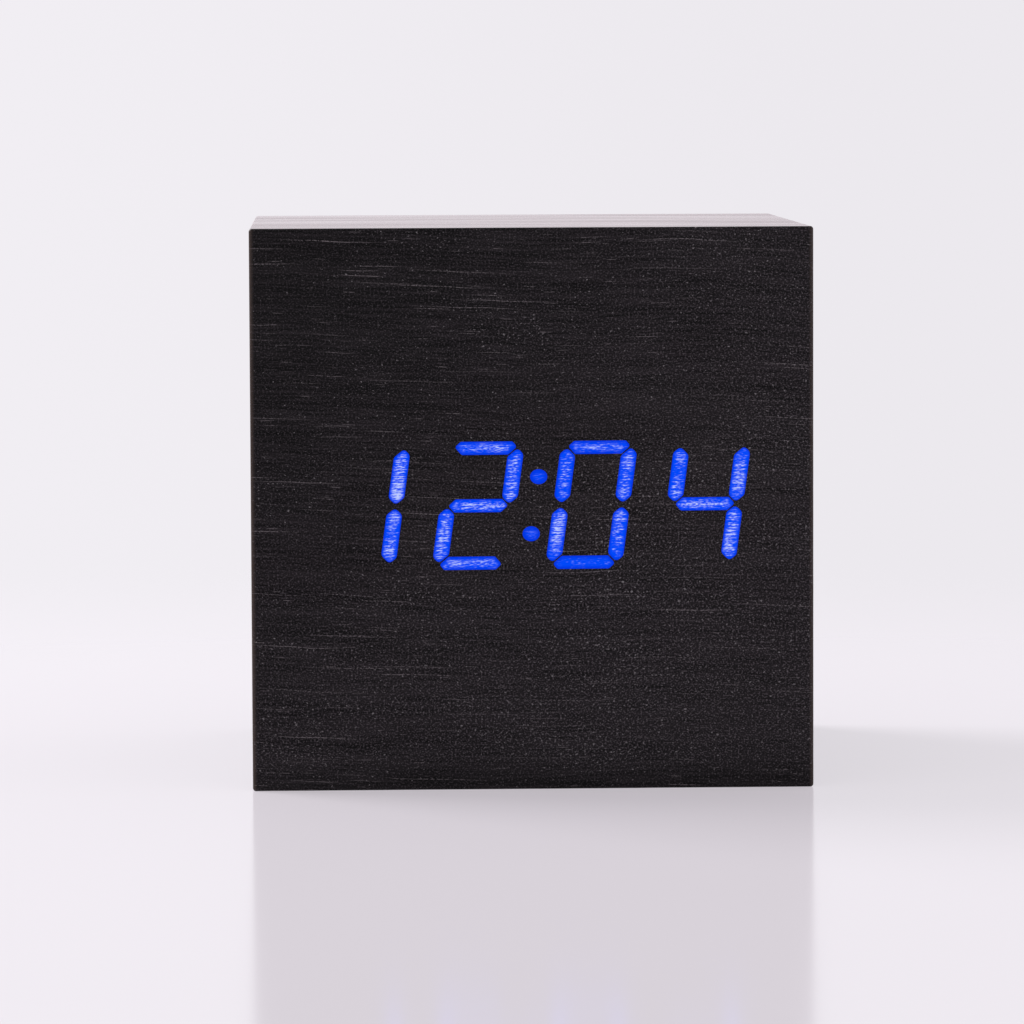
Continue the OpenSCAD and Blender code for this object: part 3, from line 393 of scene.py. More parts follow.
def wood_finish(name, along, across, offset):
    """Stain, marks with painted glints, and a thin coat, with a faint warm sheen of fibres at a grazing
    angle.
    """
    finish = Finish(name, Specular_IOR_Level=0.02, Coat_IOR=1.15, Coat_Roughness=0.05,
                    Sheen_Weight=0.23, Sheen_Roughness=0.16, Sheen_Tint=(1.0, 0.5, 0.62, 1))
    grain = wood_grain(finish, along, across, offset)
    shade = grain["tone"] * 0.35 + grain["fibre"] * 0.65 + grain["worn"].swing(0.1)
    stain = finish.blend(finish.ease(shade, 0.32, 0.68), tint(5, 4, 5), tint(33, 29, 32))
    pepper = finish.ease(grain["dust"], 0.46, 0.8)
    stain = finish.blend(pepper * (0.3 + grain["worn"] * 0.5), stain, tint(97, 89, 95))
    # Painted highlights: the specks and the pore lines stand for glints of light on the pore edges.
    for mask, strength, colour in MARKS:
        stain = finish.blend(grain[mask] * strength, stain, tint(*colour))
    finish.feed("Base Color", stain)
    finish.feed("Roughness", 0.42 + grain["tone"] * 0.16)
    finish.feed("Coat Weight", 0.78 + finish.ease(grain["polish"], 0.36, 0.64) * 0.22)
    relief = grain["dust"] * 0.3 - grain["long"] - grain["short"] - grain["dashes"] * 0.7
    finish.emboss(relief, PORE_DEPTH, 0.5)
    return finish


woods = {face: wood_finish(f"black_veneer_{face}", *row) for face, row in VENEER_FACES.items()}
print("wood finishes", list(woods))

# %% [markdown]
# ## Lit figures
# There is no glass in the front: the light comes through the veneer, so a lit segment is a patch of glowing
# wood. Its rim is a pure blue, and inside it the light breaks through the grain in pale lilac fibres. The
# outlines are read from the CAD parts. Their corners are eased, more on an upright than on a bar, because
# light spreads in the wood, and the whole display sits a tenth of a millimetre off the middle of its pocket.
# Rings inside each outline carry a number that says how deep in the glow a point is. The top and bottom
# bars glow less than the rest.

# %% Outlines in the CAD model
WELD_M = 1e-6
FLAT_ANGLE = math.radians(0.5)
FACES_FRONT, NEAR_FRONT = -0.9, 0.01
DOT_SIDES = 12


def cad_mesh(node, scale=1.0):
    """A CAD part's mesh, scaled, with its corners welded and each flat area as one face."""
    mesh = bmesh.new()
    mesh.from_mesh(nodes[node].data)
    bmesh.ops.scale(mesh, vec=(scale, scale, scale), verts=mesh.verts)
    bmesh.ops.remove_doubles(mesh, verts=mesh.verts, dist=WELD_M * scale)
    bmesh.ops.dissolve_limit(mesh, angle_limit=FLAT_ANGLE, verts=mesh.verts, edges=mesh.edges)
    return mesh


def signed_area(points):
    return sum(a.x * b.y - b.x * a.y for a, b in zip(points, points[1:] + points[:1])) / 2


def front_outlines(node):
    """The outlines of a part's front faces, counted anticlockwise as seen from the front."""
    mesh = cad_mesh(node)
    found = []
    for face in mesh.faces:
        ahead = all(abs(v.co.y / MM - front_y) < NEAR_FRONT for v in face.verts)
        if ahead and face.normal.y < FACES_FRONT:
            found.append([Vector((v.co.x, v.co.z)) / MM for v in face.verts])
    mesh.free()
    return [points if signed_area(points) > 0 else points[::-1] for points in found]


def inset(points, distance):
    """A convex outline with every side moved inward."""
    moved = []
    for k, point in enumerate(points):
        before = (point - points[k - 1]).normalized()
        after = (points[(k + 1) % len(points)] - point).normalized()
        one, two = Vector((-before.y, before.x)), Vector((-after.y, after.x))
        moved.append(point + distance * (one + two) / (1 + one.dot(two)))
    return moved


def is_dot(points):
    """A dot of the colon has a round outline of many short sides."""
    return len(points) > DOT_SIDES


def is_upright(points):
    wide, high = (max(p[k] for p in points) - min(p[k] for p in points) for k in range(2))
    return high > wide


print("segments of the hour", len(front_outlines("lit_hour_tens") + front_outlines("lit_hour_units")))

# %% Outlines of the light
UPRIGHT_EASE, BAR_EASE, LEAST_EASE = 0.75, 0.38, 0.1
EASE_REACH, EASE_STEPS = 0.48, 6
LIGHT_SPREAD, TIP_SPREAD, TIP_SHARE = 0.2, 0.11, 0.95
DOT_SPREAD = Vector((1.1, 0.96))
DISPLAY_MIDDLE = Vector((4.2, mid_z))
DISPLAY_SHIFT = Vector((-0.12, 0.11))
DISPLAY_TURN = Matrix.Rotation(math.radians(0.14), 2)
GLOW_DEPTH = {"lit_hour_tens": 1.0, "lit_hour_units": 0.95, "lit_colon": 0.3, "lit_minute_tens": 0.82,
              "lit_minute_units": 1.0}


def eased(points, tightened=0.0):
    """An outline with rounded corners, more on an upright than on a bar. A dot is left alone."""
    if is_dot(points):
        return points
    radius = max((UPRIGHT_EASE if is_upright(points) else BAR_EASE) - tightened, LEAST_EASE)
    rounded = []
    for k, point in enumerate(points):
        back, ahead = points[k - 1] - point, points[(k + 1) % len(points)] - point
        half_angle = back.angle(ahead) / 2
        reach = min(radius / math.tan(half_angle), EASE_REACH * back.length, EASE_REACH * ahead.length)
        start, end = point + back.normalized() * reach, point + ahead.normalized() * reach
        for step in range(EASE_STEPS + 1):
            t = step / EASE_STEPS
            rounded.append(start * (1 - t) ** 2 + point * 2 * t * (1 - t) + end * t ** 2)
    return rounded


def spread(points):
    """An outline as the light shows it: a segment is longer than its window, and a dot is wider."""
    centre = sum(points, Vector((0, 0))) / len(points)
    if is_dot(points):
        return [centre + (p - centre) * DOT_SPREAD for p in points]
    axis = (max(points, key=lambda p: (p - centre).length) - centre).normalized()
    tip = max(abs((p - centre).dot(axis)) for p in points) * TIP_SHARE
    blunt = TIP_SPREAD if is_upright(points) else LIGHT_SPREAD
    moved = []
    for point in points:
        reach = (point - centre).dot(axis)
        moved.append(point + axis * math.copysign(blunt if abs(reach) > tip else LIGHT_SPREAD, reach))
    return moved


def settled(points):
    """An outline as the display sits: a tenth of a millimetre off its pocket's middle, and a hair askew."""
    return [DISPLAY_MIDDLE + DISPLAY_SHIFT + DISPLAY_TURN @ (p - DISPLAY_MIDDLE) for p in points]


lit_outlines = {node: [settled(spread(found)) for found in front_outlines(node)] for node in GLOW_DEPTH}
print("lit segments", {node: len(found) for node, found in lit_outlines.items()})

# %% The glowing finish
# Each cloud, as for the veneer: its pace along and across the grain, and its seed.
LIGHT_CLOUDS = {"fibres": (0.6, 5.4, 3.0), "hairs": (2.2, 8.0, 6.0), "flood": (0.16, 0.2, 21.0)}
LIGHT_LEAN = 0.04
STREAK_SPAN = (0.465, 0.725)


def lit_finish():
    finish = Finish("lit_veneer", Specular_IOR_Level=0.0, Roughness=0.45, Emission_Strength=1.0)
    grain = wood_grain(finish, 0, 2)
    depth = finish.node("ShaderNodeAttribute", {"attribute_name": "depth"}, out="Fac")
    run, _, rise = finish.parts(finish.place())
    level = rise - run * LIGHT_LEAN
    light = {name: finish.grain_cloud(run, level, *row) for name, row in LIGHT_CLOUDS.items()}
    shine = light["fibres"] * 0.5 + light["hairs"] * 0.5 + light["flood"].swing(0.3) + depth * 0.08
    streak = finish.ease(shine, *STREAK_SPAN)
    core = finish.ease(depth, 0.0, 0.72)
    glow = finish.blend(finish.ease(depth, 0.0, 0.4), tint(0, 53, 224), tint(0, 72, 248))
    glow = finish.blend(core * streak * streak, glow, tint(190, 203, 255))
    glow = finish.blend(core * (grain["long"] + grain["short"]), glow, tint(228, 233, 255))
    finish.feed("Base Color", finish.blend(grain["dust"], tint(1, 2, 6), tint(3, 5, 12)))
    finish.feed("Emission Color", glow)
    finish.emboss(grain["dust"] * 0.3 - grain["long"], PORE_DEPTH, 0.4)
    return finish


lit_wood = lit_finish()
print("glow", lit_wood.material.name)

# %% Build the lit segments
RIM_STEPS = [0.0, 0.14, 0.3, 0.5, 0.72]
RIM_TIGHTEN = 0.7
OUTER_BAR_SHARE = 0.62
figure_low, figure_high = box_mm("lit_hour_units")
figure_h = figure_high.z - figure_low.z


def glow_share(points):
    """How much of its figure's glow a segment has: the top and bottom bars have less."""
    outer = abs(points[0].y - DISPLAY_MIDDLE.y) >= figure_h / 4
    return OUTER_BAR_SHARE if outer and not (is_dot(points) or is_upright(points)) else 1.0


def lit_segments(node):
    mesh = bmesh.new()
    depth = mesh.verts.layers.float.new("depth")
    for outline in lit_outlines[node]:
        deepest = GLOW_DEPTH[node] * glow_share(outline)
        rims = [eased(inset(outline, step), step * RIM_TIGHTEN) for step in RIM_STEPS]
        back = ring_at(mesh, rims[0], front_seam_y)
        rings = [ring_at(mesh, rim, front_y) for rim in rims]
        for ring, step in zip(rings, RIM_STEPS):
            for vert in ring:
                vert[depth] = deepest * step / RIM_STEPS[-1]
        skin(mesh, back, *rings)
        mesh.faces.new(back)
        mesh.faces.new(rings[-1])
    return mesh


for node in GLOW_DEPTH:
    make_piece(node.replace("lit", "glow"), lit_segments(node), [lit_wood], "case", [node])

# %% [markdown]
# ## Veneer on the faces
# The front sheet covers the whole front, and the four sides meet in mitred edges. A maker breaks every
# sharp edge with a pass of fine paper, so the edges are quarter rounds of about a third of a millimetre.
# That round is what catches the light along the top edge. Its radius wanders a little, as a hand-sanded
# edge does. The front sheet is a ring of points that steps round the edge and is then filled flat, leaving
# the lit outlines open.

# %% Eased edges
EDGE_RADIUS = 0.36
EDGE_STEPS = 5
EDGE_SAMPLES = 40
SANDING, SANDING_PACE, SANDING_SEED = 0.22, 0.35, (17.3, 4.1)
SIDE_RUN = 80
FRONT_EDGE, REAR_EDGE = 9, 8
QUARTER_TURNS = [Matrix.Rotation(k * math.pi / 2, 2) for k in range(4)]


def edge_radius(edge, run):
    """The radius of an edge where it is run millimetres along, with a sander's small differences."""
    spot = Vector((run * SANDING_PACE, edge * SANDING_SEED[0], SANDING_SEED[1]))
    return EDGE_RADIUS * (1 + SANDING * noise.noise(spot))


def square_loop():
    """Points round the cube in the front view, from its middle, with the way out and the run along."""
    loop = []
    straight = half_side - EDGE_RADIUS
    for turn, spin in enumerate(QUARTER_TURNS):
        for k in range(EDGE_SAMPLES):
            t = -straight + 2 * straight * k / (EDGE_SAMPLES - 1)
            loop.append((spin @ Vector((t, -half_side)), spin @ Vector((0, -1)), t + SIDE_RUN * turn))
        for k in range(1, EDGE_STEPS):
            angle = -math.pi / 2 + math.pi / 2 * k / EDGE_STEPS
            out = Vector((math.cos(angle), math.sin(angle)))
            corner = Vector((straight, -straight)) + EDGE_RADIUS * out
            loop.append((spin @ corner, spin @ out, straight + SIDE_RUN * turn))
    return loop


SQUARE_LOOP = square_loop()


def rolled_edge(mesh, edge, seam_y, face_y):
    """Rings from the seam with the sides, round the eased edge, to the flat face."""
    way = 1 if seam_y > face_y else -1
    rings = [add_ring(mesh, [(p.x, seam_y, p.y + mid_z) for p, _, _ in SQUARE_LOOP])]
    for step in range(EDGE_STEPS + 1):
        angle = math.pi / 2 * step / EDGE_STEPS
        ring = []
        for point, out, run in SQUARE_LOOP:
            radius = edge_radius(edge, run)
            inward, outward = radius * (1 - math.cos(angle)), radius * (1 - math.sin(angle))
            ring.append((point.x - out.x * inward, face_y + way * outward, point.y - out.y * inward + mid_z))
        rings.append(add_ring(mesh, ring))
    return rings


print("points round the cube", len(SQUARE_LOOP))


# %% The front sheet
def front_sheet():
    mesh = bmesh.new()
    rings = rolled_edge(mesh, FRONT_EDGE, front_seam_y, front_y)
    skin(mesh, *rings)
    windows = [eased(outline) for found in lit_outlines.values() for outline in found]
    fronts = [ring_at(mesh, window, front_y) for window in windows]
    backs = [ring_at(mesh, window, front_seam_y) for window in windows]
    for one, two in zip(fronts, backs):
        skin(mesh, one, two)
    close_flat(mesh, rings[-1], *fronts)
    close_flat(mesh, rings[0], *backs)
    return mesh


make_piece("veneer_front", front_sheet(), [woods["front"]], "case", ["front_veneer"])


# %% The four mitred side sheets
def side_sheet(turn):
    """One side, drawn as the top and turned about the cube's middle."""
    mesh = bmesh.new()
    inside = half_side - veneer_t
    rings = []
    for k in range(EDGE_SAMPLES):
        y = front_seam_y + (rear_seam_y - front_seam_y) * k / (EDGE_SAMPLES - 1)
        section = [Vector((-inside, inside))]
        for side, start, edge in ((-1, 135, turn + 1), (1, 90, turn or 4)):
            radius = edge_radius(edge, y)
            centre = Vector((side * (half_side - radius), half_side - radius))
            for step in range(EDGE_STEPS + 1):
                angle = math.radians(start - 45 * step / EDGE_STEPS)
                section.append(centre + radius * Vector((math.cos(angle), math.sin(angle))))
        section.append(Vector((inside, inside)))
        spun = [QUARTER_TURNS[turn] @ p for p in section]
        rings.append([(p.x, y, p.y + mid_z) for p in spun])
    loft(mesh, rings)
    return mesh


for turn, side in enumerate(["top", "left", "bottom", "right"]):
    wood = woods["top" if side in ("top", "bottom") else "side"]
    make_piece(f"veneer_{side}", side_sheet(turn), [wood], "case", [f"{side}_veneer"])

# %% [markdown]
# ## Rear edge band
# The cut edges of the case are covered by strips of the same veneer. Together they make a flat frame round
# the opening, eased on its outer edge like the front and only just broken on its inner edge. The grain runs
# along each strip, so the two upright strips take a finish of their own, and the corners read as mitres.

# %% The rear band
INNER_BREAK = 0.12
JOIN = 1e-4


def held(value, limit):
    return max(-limit, min(limit, value))


def rear_band():
    mesh = bmesh.new()
    rings = rolled_edge(mesh, REAR_EDGE, rear_seam_y, rear_y)
    opening = -box_mm("left_panel")[1].x
    inner = ((opening + INNER_BREAK, rear_y), (opening, rear_y - INNER_BREAK), (opening, rear_seam_y))
    for reach, y in inner:
        ring = [(held(p.x, reach), y, held(p.y, reach) + mid_z) for p, _, _ in SQUARE_LOOP]
        rings.append(add_ring(mesh, ring))
    skin(mesh, *rings, rings[0])
    bmesh.ops.remove_doubles(mesh, verts=mesh.verts, dist=JOIN)
    bmesh.ops.dissolve_degenerate(mesh, edges=mesh.edges, dist=JOIN / 10)
    for face in mesh.faces:
        middle = face.calc_center_median()
        face.material_index = int(abs(middle.x) > abs(middle.z - mid_z))
    return mesh


make_piece("veneer_rear_band", rear_band(), [woods["front"], woods["upright"]], "case", ["rear_edge_band"])

# %% [markdown]
# ## Plastic, metal, board and fibre
# The rest of the clock is mass-made: spark-eroded black plastic, plated springs, green boards and raw
# fibreboard. Each finish is a small recipe that starts from the place of the point, so that no two spots are
# quite alike: a slow cloud for the flow of the material, and a fine one for its texture. Plastics and metals
# differ only in their numbers, so those stand in two tables.


# %% Recipes of the everyday finishes
def moulded_finish(name, dark, pale, rough, texture_mm=0.22, depth_mm=0.012):
    """Moulded plastic with the fine texture of its tool."""
    finish = Finish(name, Specular_IOR_Level=0.4)
    place = finish.place()
    texture = finish.cloud(place, scale=1 / texture_mm)
    flow = finish.cloud(place, scale=0.09)
    finish.feed("Base Color", finish.blend(finish.ease(flow, 0.3, 0.7), tint(*dark), tint(*pale)))
    finish.feed("Roughness", rough + flow.swing(0.14) + texture.swing(0.16))
    finish.emboss(texture, depth_mm, 0.6)
    return finish


def metal_finish(name, dark, pale, rough):
    """Plated or bare metal, with a faint mottle and a breath of tarnish."""
    finish = Finish(name, Metallic=1.0)
    place = finish.place()
    mottle = finish.cloud(place, scale=3.0, detail=3)
    tarnish = finish.ease(finish.cloud(place, scale=0.35, detail=3), 0.4, 0.75)
    finish.feed("Base Color", finish.blend(tarnish, tint(*pale), tint(*dark)))
    finish.feed("Roughness", rough + mottle.swing(0.2) + tarnish * 0.1)
    finish.emboss(mottle, 0.004, 0.4)
    return finish


PAINT_SPAN = (9, 10.4)


def fibreboard_finish(name):
    """Brown pressed fibres, with black paint that drifted in at the rear opening."""
    finish = Finish(name, Specular_IOR_Level=0.2)
    place = finish.place()
    fibres = finish.cloud(finish.stretch(place, (0.7, 0.9, 2.4)), scale=1.6, detail=4, rough=0.7)
    blotches = finish.cloud(place, scale=0.12)
    board = finish.blend(finish.ease(fibres, 0.3, 0.72), tint(116, 88, 62), tint(168, 136, 100))
    board = finish.blend(finish.ease(blotches, 0.35, 0.8) * 0.4, board, tint(136, 104, 74))
    depth = finish.parts(place)[1] - box_mm("rear_cover")[0].y
    paint = finish.ease(depth + fibres.swing(2.0), *PAINT_SPAN)
    finish.feed("Base Color", finish.blend(paint, board, tint(24, 22, 23)))
    finish.feed("Roughness", 0.9 - fibres * 0.15 - paint * 0.2)
    finish.emboss(fibres, 0.06, 0.5)
    return finish


def circuit_finish(name):
    """Green solder mask over copper tracks that run along and across the board."""
    finish = Finish(name, Specular_IOR_Level=0.5)
    place = finish.place()
    x, y, z = finish.parts(place)
    reach = y + z

    def rounded(operation, value):
        return finish.node("ShaderNodeMath", {"operation": operation}, {0: value})

    def tracks(run, cross, seed):
        lanes = cross * 0.9
        lane, inside = rounded("FLOOR", lanes), rounded("FRACT", lanes)
        block = rounded("FLOOR", run * 0.09 + lane * 0.37)
        chance = finish.node("ShaderNodeTexWhiteNoise", {}, {"Vector": finish.vector(lane, block, seed)})
        return (inside > 0.36) * (inside < 0.7) * (chance > 0.55)

    copper = finish.node("ShaderNodeMath", {"operation": "MAXIMUM"},
                         {0: tracks(x, reach, 1.5), 1: tracks(reach, x, 8.5)})
    weave = finish.cloud(place, scale=2.5)
    mask = finish.blend(weave, tint(16, 74, 46), tint(22, 92, 56))
    finish.feed("Base Color", finish.blend(copper * 0.7, mask, tint(44, 128, 72)))
    finish.feed("Roughness", 0.3 + weave * 0.12)
    finish.emboss(copper + weave * 0.3, 0.03, 0.6)
    return finish


FINISHES = {"fibreboard": fibreboard_finish("fibreboard"), "circuit_board": circuit_finish("circuit_board")}
print("finishes with a recipe of their own", list(FINISHES))

# %% Plastics and metals
# Each plastic: its dark and its pale colour, its roughness, and the size and depth of its texture in
# millimetres where they aren't the usual ones.
MOULDED = {
    "diffuser": ((214, 216, 222), (232, 233, 236), 0.55),
    "white_abs": ((222, 221, 216), (236, 235, 230), 0.45),
    "led": ((226, 214, 150), (238, 232, 190), 0.25, 0.5),
    "cream_nylon": ((226, 216, 190), (238, 230, 208), 0.5),
    "ribbon": ((172, 174, 178), (196, 197, 200), 0.5),
    "black_abs": ((23, 23, 25), (31, 31, 33), 0.52),
    "button_abs": ((34, 34, 37), (44, 44, 47), 0.4, 0.3, 0.006),
    "knob_abs": ((206, 205, 202), (226, 225, 222), 0.42),
    "cell_wrap": ((34, 50, 56), (46, 66, 72), 0.28, 0.6, 0.004),
    "red_lead": ((150, 22, 24), (176, 32, 32), 0.42),
    "black_lead": ((20, 20, 21), (32, 32, 33), 0.42),
    "black_nylon": ((22, 22, 23), (34, 34, 36), 0.48),
    "chip_epoxy": ((26, 26, 27), (36, 36, 37), 0.62, 0.12, 0.02),
    "sleeve": ((24, 26, 66), (34, 36, 84), 0.34, 0.5, 0.005),
}
# Each metal: its tarnished and its clean colour, and its roughness.
METAL = {
    "zinc_steel": ((150, 150, 152), (196, 196, 198), 0.34),
    "black_steel": ((38, 38, 41), (64, 64, 68), 0.38),
    "nickel": ((158, 154, 146), (206, 203, 196), 0.26),
    "brass_pin": ((150, 116, 58), (206, 172, 98), 0.24),
}
FINISHES.update({name: moulded_finish(name, *row) for name, row in MOULDED.items()})
FINISHES.update({name: metal_finish(name, *row) for name, row in METAL.items()})
print("everyday finishes", len(FINISHES))

# %% [markdown]
# ## Parts that keep their CAD shape
# A moulded or machined part already has the right form in the CAD model, but its edges there are perfectly
# sharp, and no real edge is. `softened` copies such a part, welds it, and rolls every sharp edge over by a
# tenth or two of a millimetre with a bevel. Panels that nobody sees keep their CAD mesh and only get a
# finish.

# %% Finish every CAD part by its material slot
slot_of = {row["node"]: row["material_slot"] for row in frame["record"]["subparts"]}
body_of = {node: nodes[node]["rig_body"] for node in nodes}
for node, slot in slot_of.items():
    if slot in FINISHES:
        nodes[node].data.materials.clear()
        nodes[node].data.materials.append(FINISHES[slot].material)
print("parts finished by slot", len(slot_of))

# %% Rounded copies
SHARP_ANGLE = math.radians(30)
# The width in millimetres by which the edges of each part are rolled over.
SOFT_EDGES = {
    "rear_cover": 0.2, "battery_door": 0.2, "power_inlet": 0.15, "slide_switch": 0.1, "microphone": 0.2,
    "battery_contacts": 0.08, "push_switches": 0.15, "display_plug": 0.2, "main_plug": 0.2,
    "set_plunger": 0.2, "down_plunger": 0.2, "up_plunger": 0.2, "clock_chip": 0.12, "clock_crystal": 0.3,
    "coin_cell_holder": 0.2, "coin_cell": 0.2, "buzzer": 0.3, "capacitor": 0.4, "display_leds": 0.08,
}
SOFT_CREASE, WIRE_CREASE = 50, 60


def dress(node, ending, mesh, crease=CREASE):
    """Makes the piece that takes a CAD part's place, in the finish of the part's slot."""
    slot = slot_of[node]
    make_piece(f"{node}_{ending}", mesh, [FINISHES[slot]], body_of[node], [node], crease)


def softened(node, width):
    """A copy of a CAD part with its edges rolled over by width millimetres."""
    mesh = cad_mesh(node, 1 / MM)
    edges = [e for e in mesh.edges if e.is_manifold and e.calc_face_angle() > SHARP_ANGLE]
    bmesh.ops.bevel(mesh, geom=edges, offset=width, offset_type="OFFSET", segments=2, profile=0.5,
                    affect="EDGES", clamp_overlap=True)
    return mesh


for node, width in SOFT_EDGES.items():
    dress(node, "body", softened(node, width), SOFT_CREASE)

# %% [markdown]
# ## Turned parts
# Buttons, screws, cells and pins are all round, so one helper turns a profile about an axis, as a lathe
# does. A profile is a list of places along the axis with the radius at each. `solids` reads where the
# separate bodies of a CAD part are, so that each turned part lands on its own.


# %% A lathe and a list of bodies
def about(origin, axis, along, u, v):
    """The point at a place along an axis through the origin, and u and v across it."""
    point = [u, v]
    point.insert("xyz".index(axis), along)
    return Vector(point) + Vector(origin)


def turned(mesh, origin, axis, profile, sides=48, finish_of=None):
    """Turns a profile of (place along the axis, radius) about an axis through the origin."""
    rings = []
    for along, radius in profile:
        angles = [2 * math.pi * k / sides for k in range(sides if radius > 0 else 1)]
        rings.append(add_ring(mesh, [about(origin, axis, along, radius * math.cos(a), radius * math.sin(a))
                                     for a in angles]))
    for band, (one, two) in enumerate(zip(rings, rings[1:])):
        for k in range(sides):
            n = (k + 1) % sides
            corners = (one[k % len(one)], one[n % len(one)], two[n % len(two)], two[k % len(two)])
            face = mesh.faces.new(list(dict.fromkeys(corners)))
            if finish_of:
                face.material_index = finish_of[band]


def solids(node):
    """The boxes, in millimetres, of the separate bodies of a CAD part."""
    mesh = cad_mesh(node)
    left, boxes = set(mesh.verts), []
    while left:
        found, front = set(), [left.pop()]
        while front:
            vert = front.pop()
            found.add(vert)
            for edge in vert.link_edges:
                other = edge.other_vert(vert)
                if other in left:
                    left.remove(other)
                    front.append(other)
        boxes.append([Vector([pick(v.co[k] for v in found) for k in range(3)]) / MM for pick in (min, max)])
    mesh.free()
    return sorted(boxes, key=lambda box: tuple(round(v, 2) for v in box[0]))


def quarter(along, radius, size, steps=5):
    """Profile points that roll from the side of a round part over to its end face at along."""
    return [(along - size * (1 - math.sin(a)), radius - size * (1 - math.cos(a)))
            for a in [math.pi / 2 * k / steps for k in range(steps + 1)]]


print("rear screws", len(solids("rear_cover_screws")), "cells", len(solids("battery_cells")))

# %% [markdown]
# ## Push buttons
# Three small caps stick out of the cover: one to set, one down, one up. Each is moulded with a flange, so
# that it can't fall out, a gently domed top, and a raised sign that a finger can feel. The sign's sides lean
# in a little, because a moulded sign needs draft to leave its tool.

# %% Caps and signs
CAP_RADIUS, CAP_ROLL = 2.3, 0.45
DOME_RISE, DOME_NEAR_TOP, DOME_RADIUS = 0.08, 0.03, 1.2
FLANGE_T, FLANGE_BREAK = 0.8, 0.1
SIGN_RISE, SIGN_W, SIGN_DRAFT = 0.2, 2.2, 0.07
SIGN_ROOT, SIGN_EDGE = 0.15, 0.03


def raised_sign(mesh, x, z, y0, y1, points):
    """A flat sign with leaning sides. Points are right and up, as seen from behind the clock."""
    corners = [Vector(p) for p in points]
    corners = corners if signed_area(corners) > 0 else corners[::-1]
    steps = ((y0, 0.0), (y1 - SIGN_DRAFT / 2, 0.0), (y1, SIGN_DRAFT))
    loft(mesh, [[(x - p.x, y, z + p.y) for p in inset(corners, move)] for y, move in steps])


def push_cap(node, sign):
    low, high = box_mm(node)
    x, _, z = (low + high) / 2
    foot, top, flange = low.y, high.y - SIGN_RISE, (high.x - low.x) / 2
    root, edge = top - SIGN_ROOT, high.y - SIGN_EDGE
    mesh = bmesh.new()
    profile = [(foot, 0), (foot, flange - FLANGE_BREAK), (foot + FLANGE_BREAK, flange),
               (foot + FLANGE_T, flange), (foot + FLANGE_T, CAP_RADIUS)]
    profile += quarter(top - DOME_RISE, CAP_RADIUS, CAP_ROLL)
    profile += [(top - DOME_NEAR_TOP, DOME_RADIUS), (top, 0)]
    turned(mesh, (x, 0, z), "y", profile)
    if sign == "ring":
        outer, inner = SIGN_W / 2, SIGN_W / 4
        turned(mesh, (x, 0, z), "y", [
            (root, inner), (edge, inner), (high.y, inner + SIGN_DRAFT), (high.y, outer - SIGN_DRAFT),
            (edge, outer), (root, outer), (root, inner)])
    else:
        way = 1 if sign == "up" else -1
        raised_sign(mesh, x, z, root, high.y, [
            (-SIGN_W / 2, -way * SIGN_W / 3), (SIGN_W / 2, -way * SIGN_W / 3), (0, way * SIGN_W / 2)])
    return mesh


for node, sign in (("set_button", "ring"), ("down_button", "down"), ("up_button", "up")):
    dress(node, "cap", push_cap(node, sign))

# %% [markdown]
# ## Screws
# Pan-head screws with a cross recess hold the cover and the boards. The head is turned, the recess is cut
# with a Boolean, because two crossed slots with leaning walls are hard to draw by rings, and the shank gets
# a row of ridges for its thread.


# %% A punch for the cross recess
def carve(mesh, cutter):
    """Cuts one closed mesh out of another."""
    pair = []
    for part in (mesh, cutter):
        bmesh.ops.recalc_face_normals(part, faces=part.faces)
        data = bpy.data.meshes.new("carving")
        part.to_mesh(data)
        part.free()
        pair.append(add_object("carving", data))
    cut = pair[0].modifiers.new("cut", "BOOLEAN")
    cut.operation = "DIFFERENCE"
    cut.solver = "EXACT"
    cut.object = pair[1]
    result = bmesh.new()
    result.from_object(pair[0], bpy.context.evaluated_depsgraph_get())
    for block in pair:
        data = block.data
        bpy.data.objects.remove(block)
        bpy.data.meshes.remove(data)
    return result


RECESS_DEPTH, RECESS_REACH = 0.55, 0.62
ARM_WIDE, ARM_NARROW = 0.38, 0.22
PUNCH_ABOVE, PUNCH_FLARE, PUNCH_POINT = 0.2, 0.1, 0.66


def cross_cutter(mesh, origin, axis, top, reach):
    """A plus-shaped punch whose walls lean in towards its point."""
    rings = []
    for along, wide, long in ((top + PUNCH_ABOVE, ARM_WIDE, reach + PUNCH_FLARE),
                              (top - RECESS_DEPTH, ARM_NARROW, reach * PUNCH_POINT)):
        arm = [Vector(p) for p in ((long, -wide), (long, wide), (wide, wide))]
        rings.append([about(origin, axis, along, *(spin @ p)) for spin in QUARTER_TURNS for p in arm])
    loft(mesh, rings)


print("recess", RECESS_DEPTH, "mm deep")

# %% Pan-head screws
THREAD_PITCH, THREAD_START, UNCUT_L = 0.7, 0.6, 1.0
CREST_FROM, CREST_TO = 0.45, 0.6
TAPER_START, TAPER_STEP = 0.6, 0.2
POINT_L, POINT_SHARE = 0.5, 0.22
ROOT_SHARE, CREST_SHARE, NECK_SHARE = 0.4, 0.5, 0.42
HEAD_BREAK, HEAD_ROLL, HEAD_SIDE = 0.12, 0.55, 0.25
CROWN_RISE, CROWN_NEAR_TOP, CROWN_SHARE = 0.1, 0.02, 0.4
# Each set of screws: its axis, the height of its heads and the diameter of its shanks.
SCREWS = {"rear_cover_screws": ("y", 1.2, 2.0), "main_board_screws": ("z", 1.0, 1.8),
          "display_screws": ("y", 1.0, 1.8)}


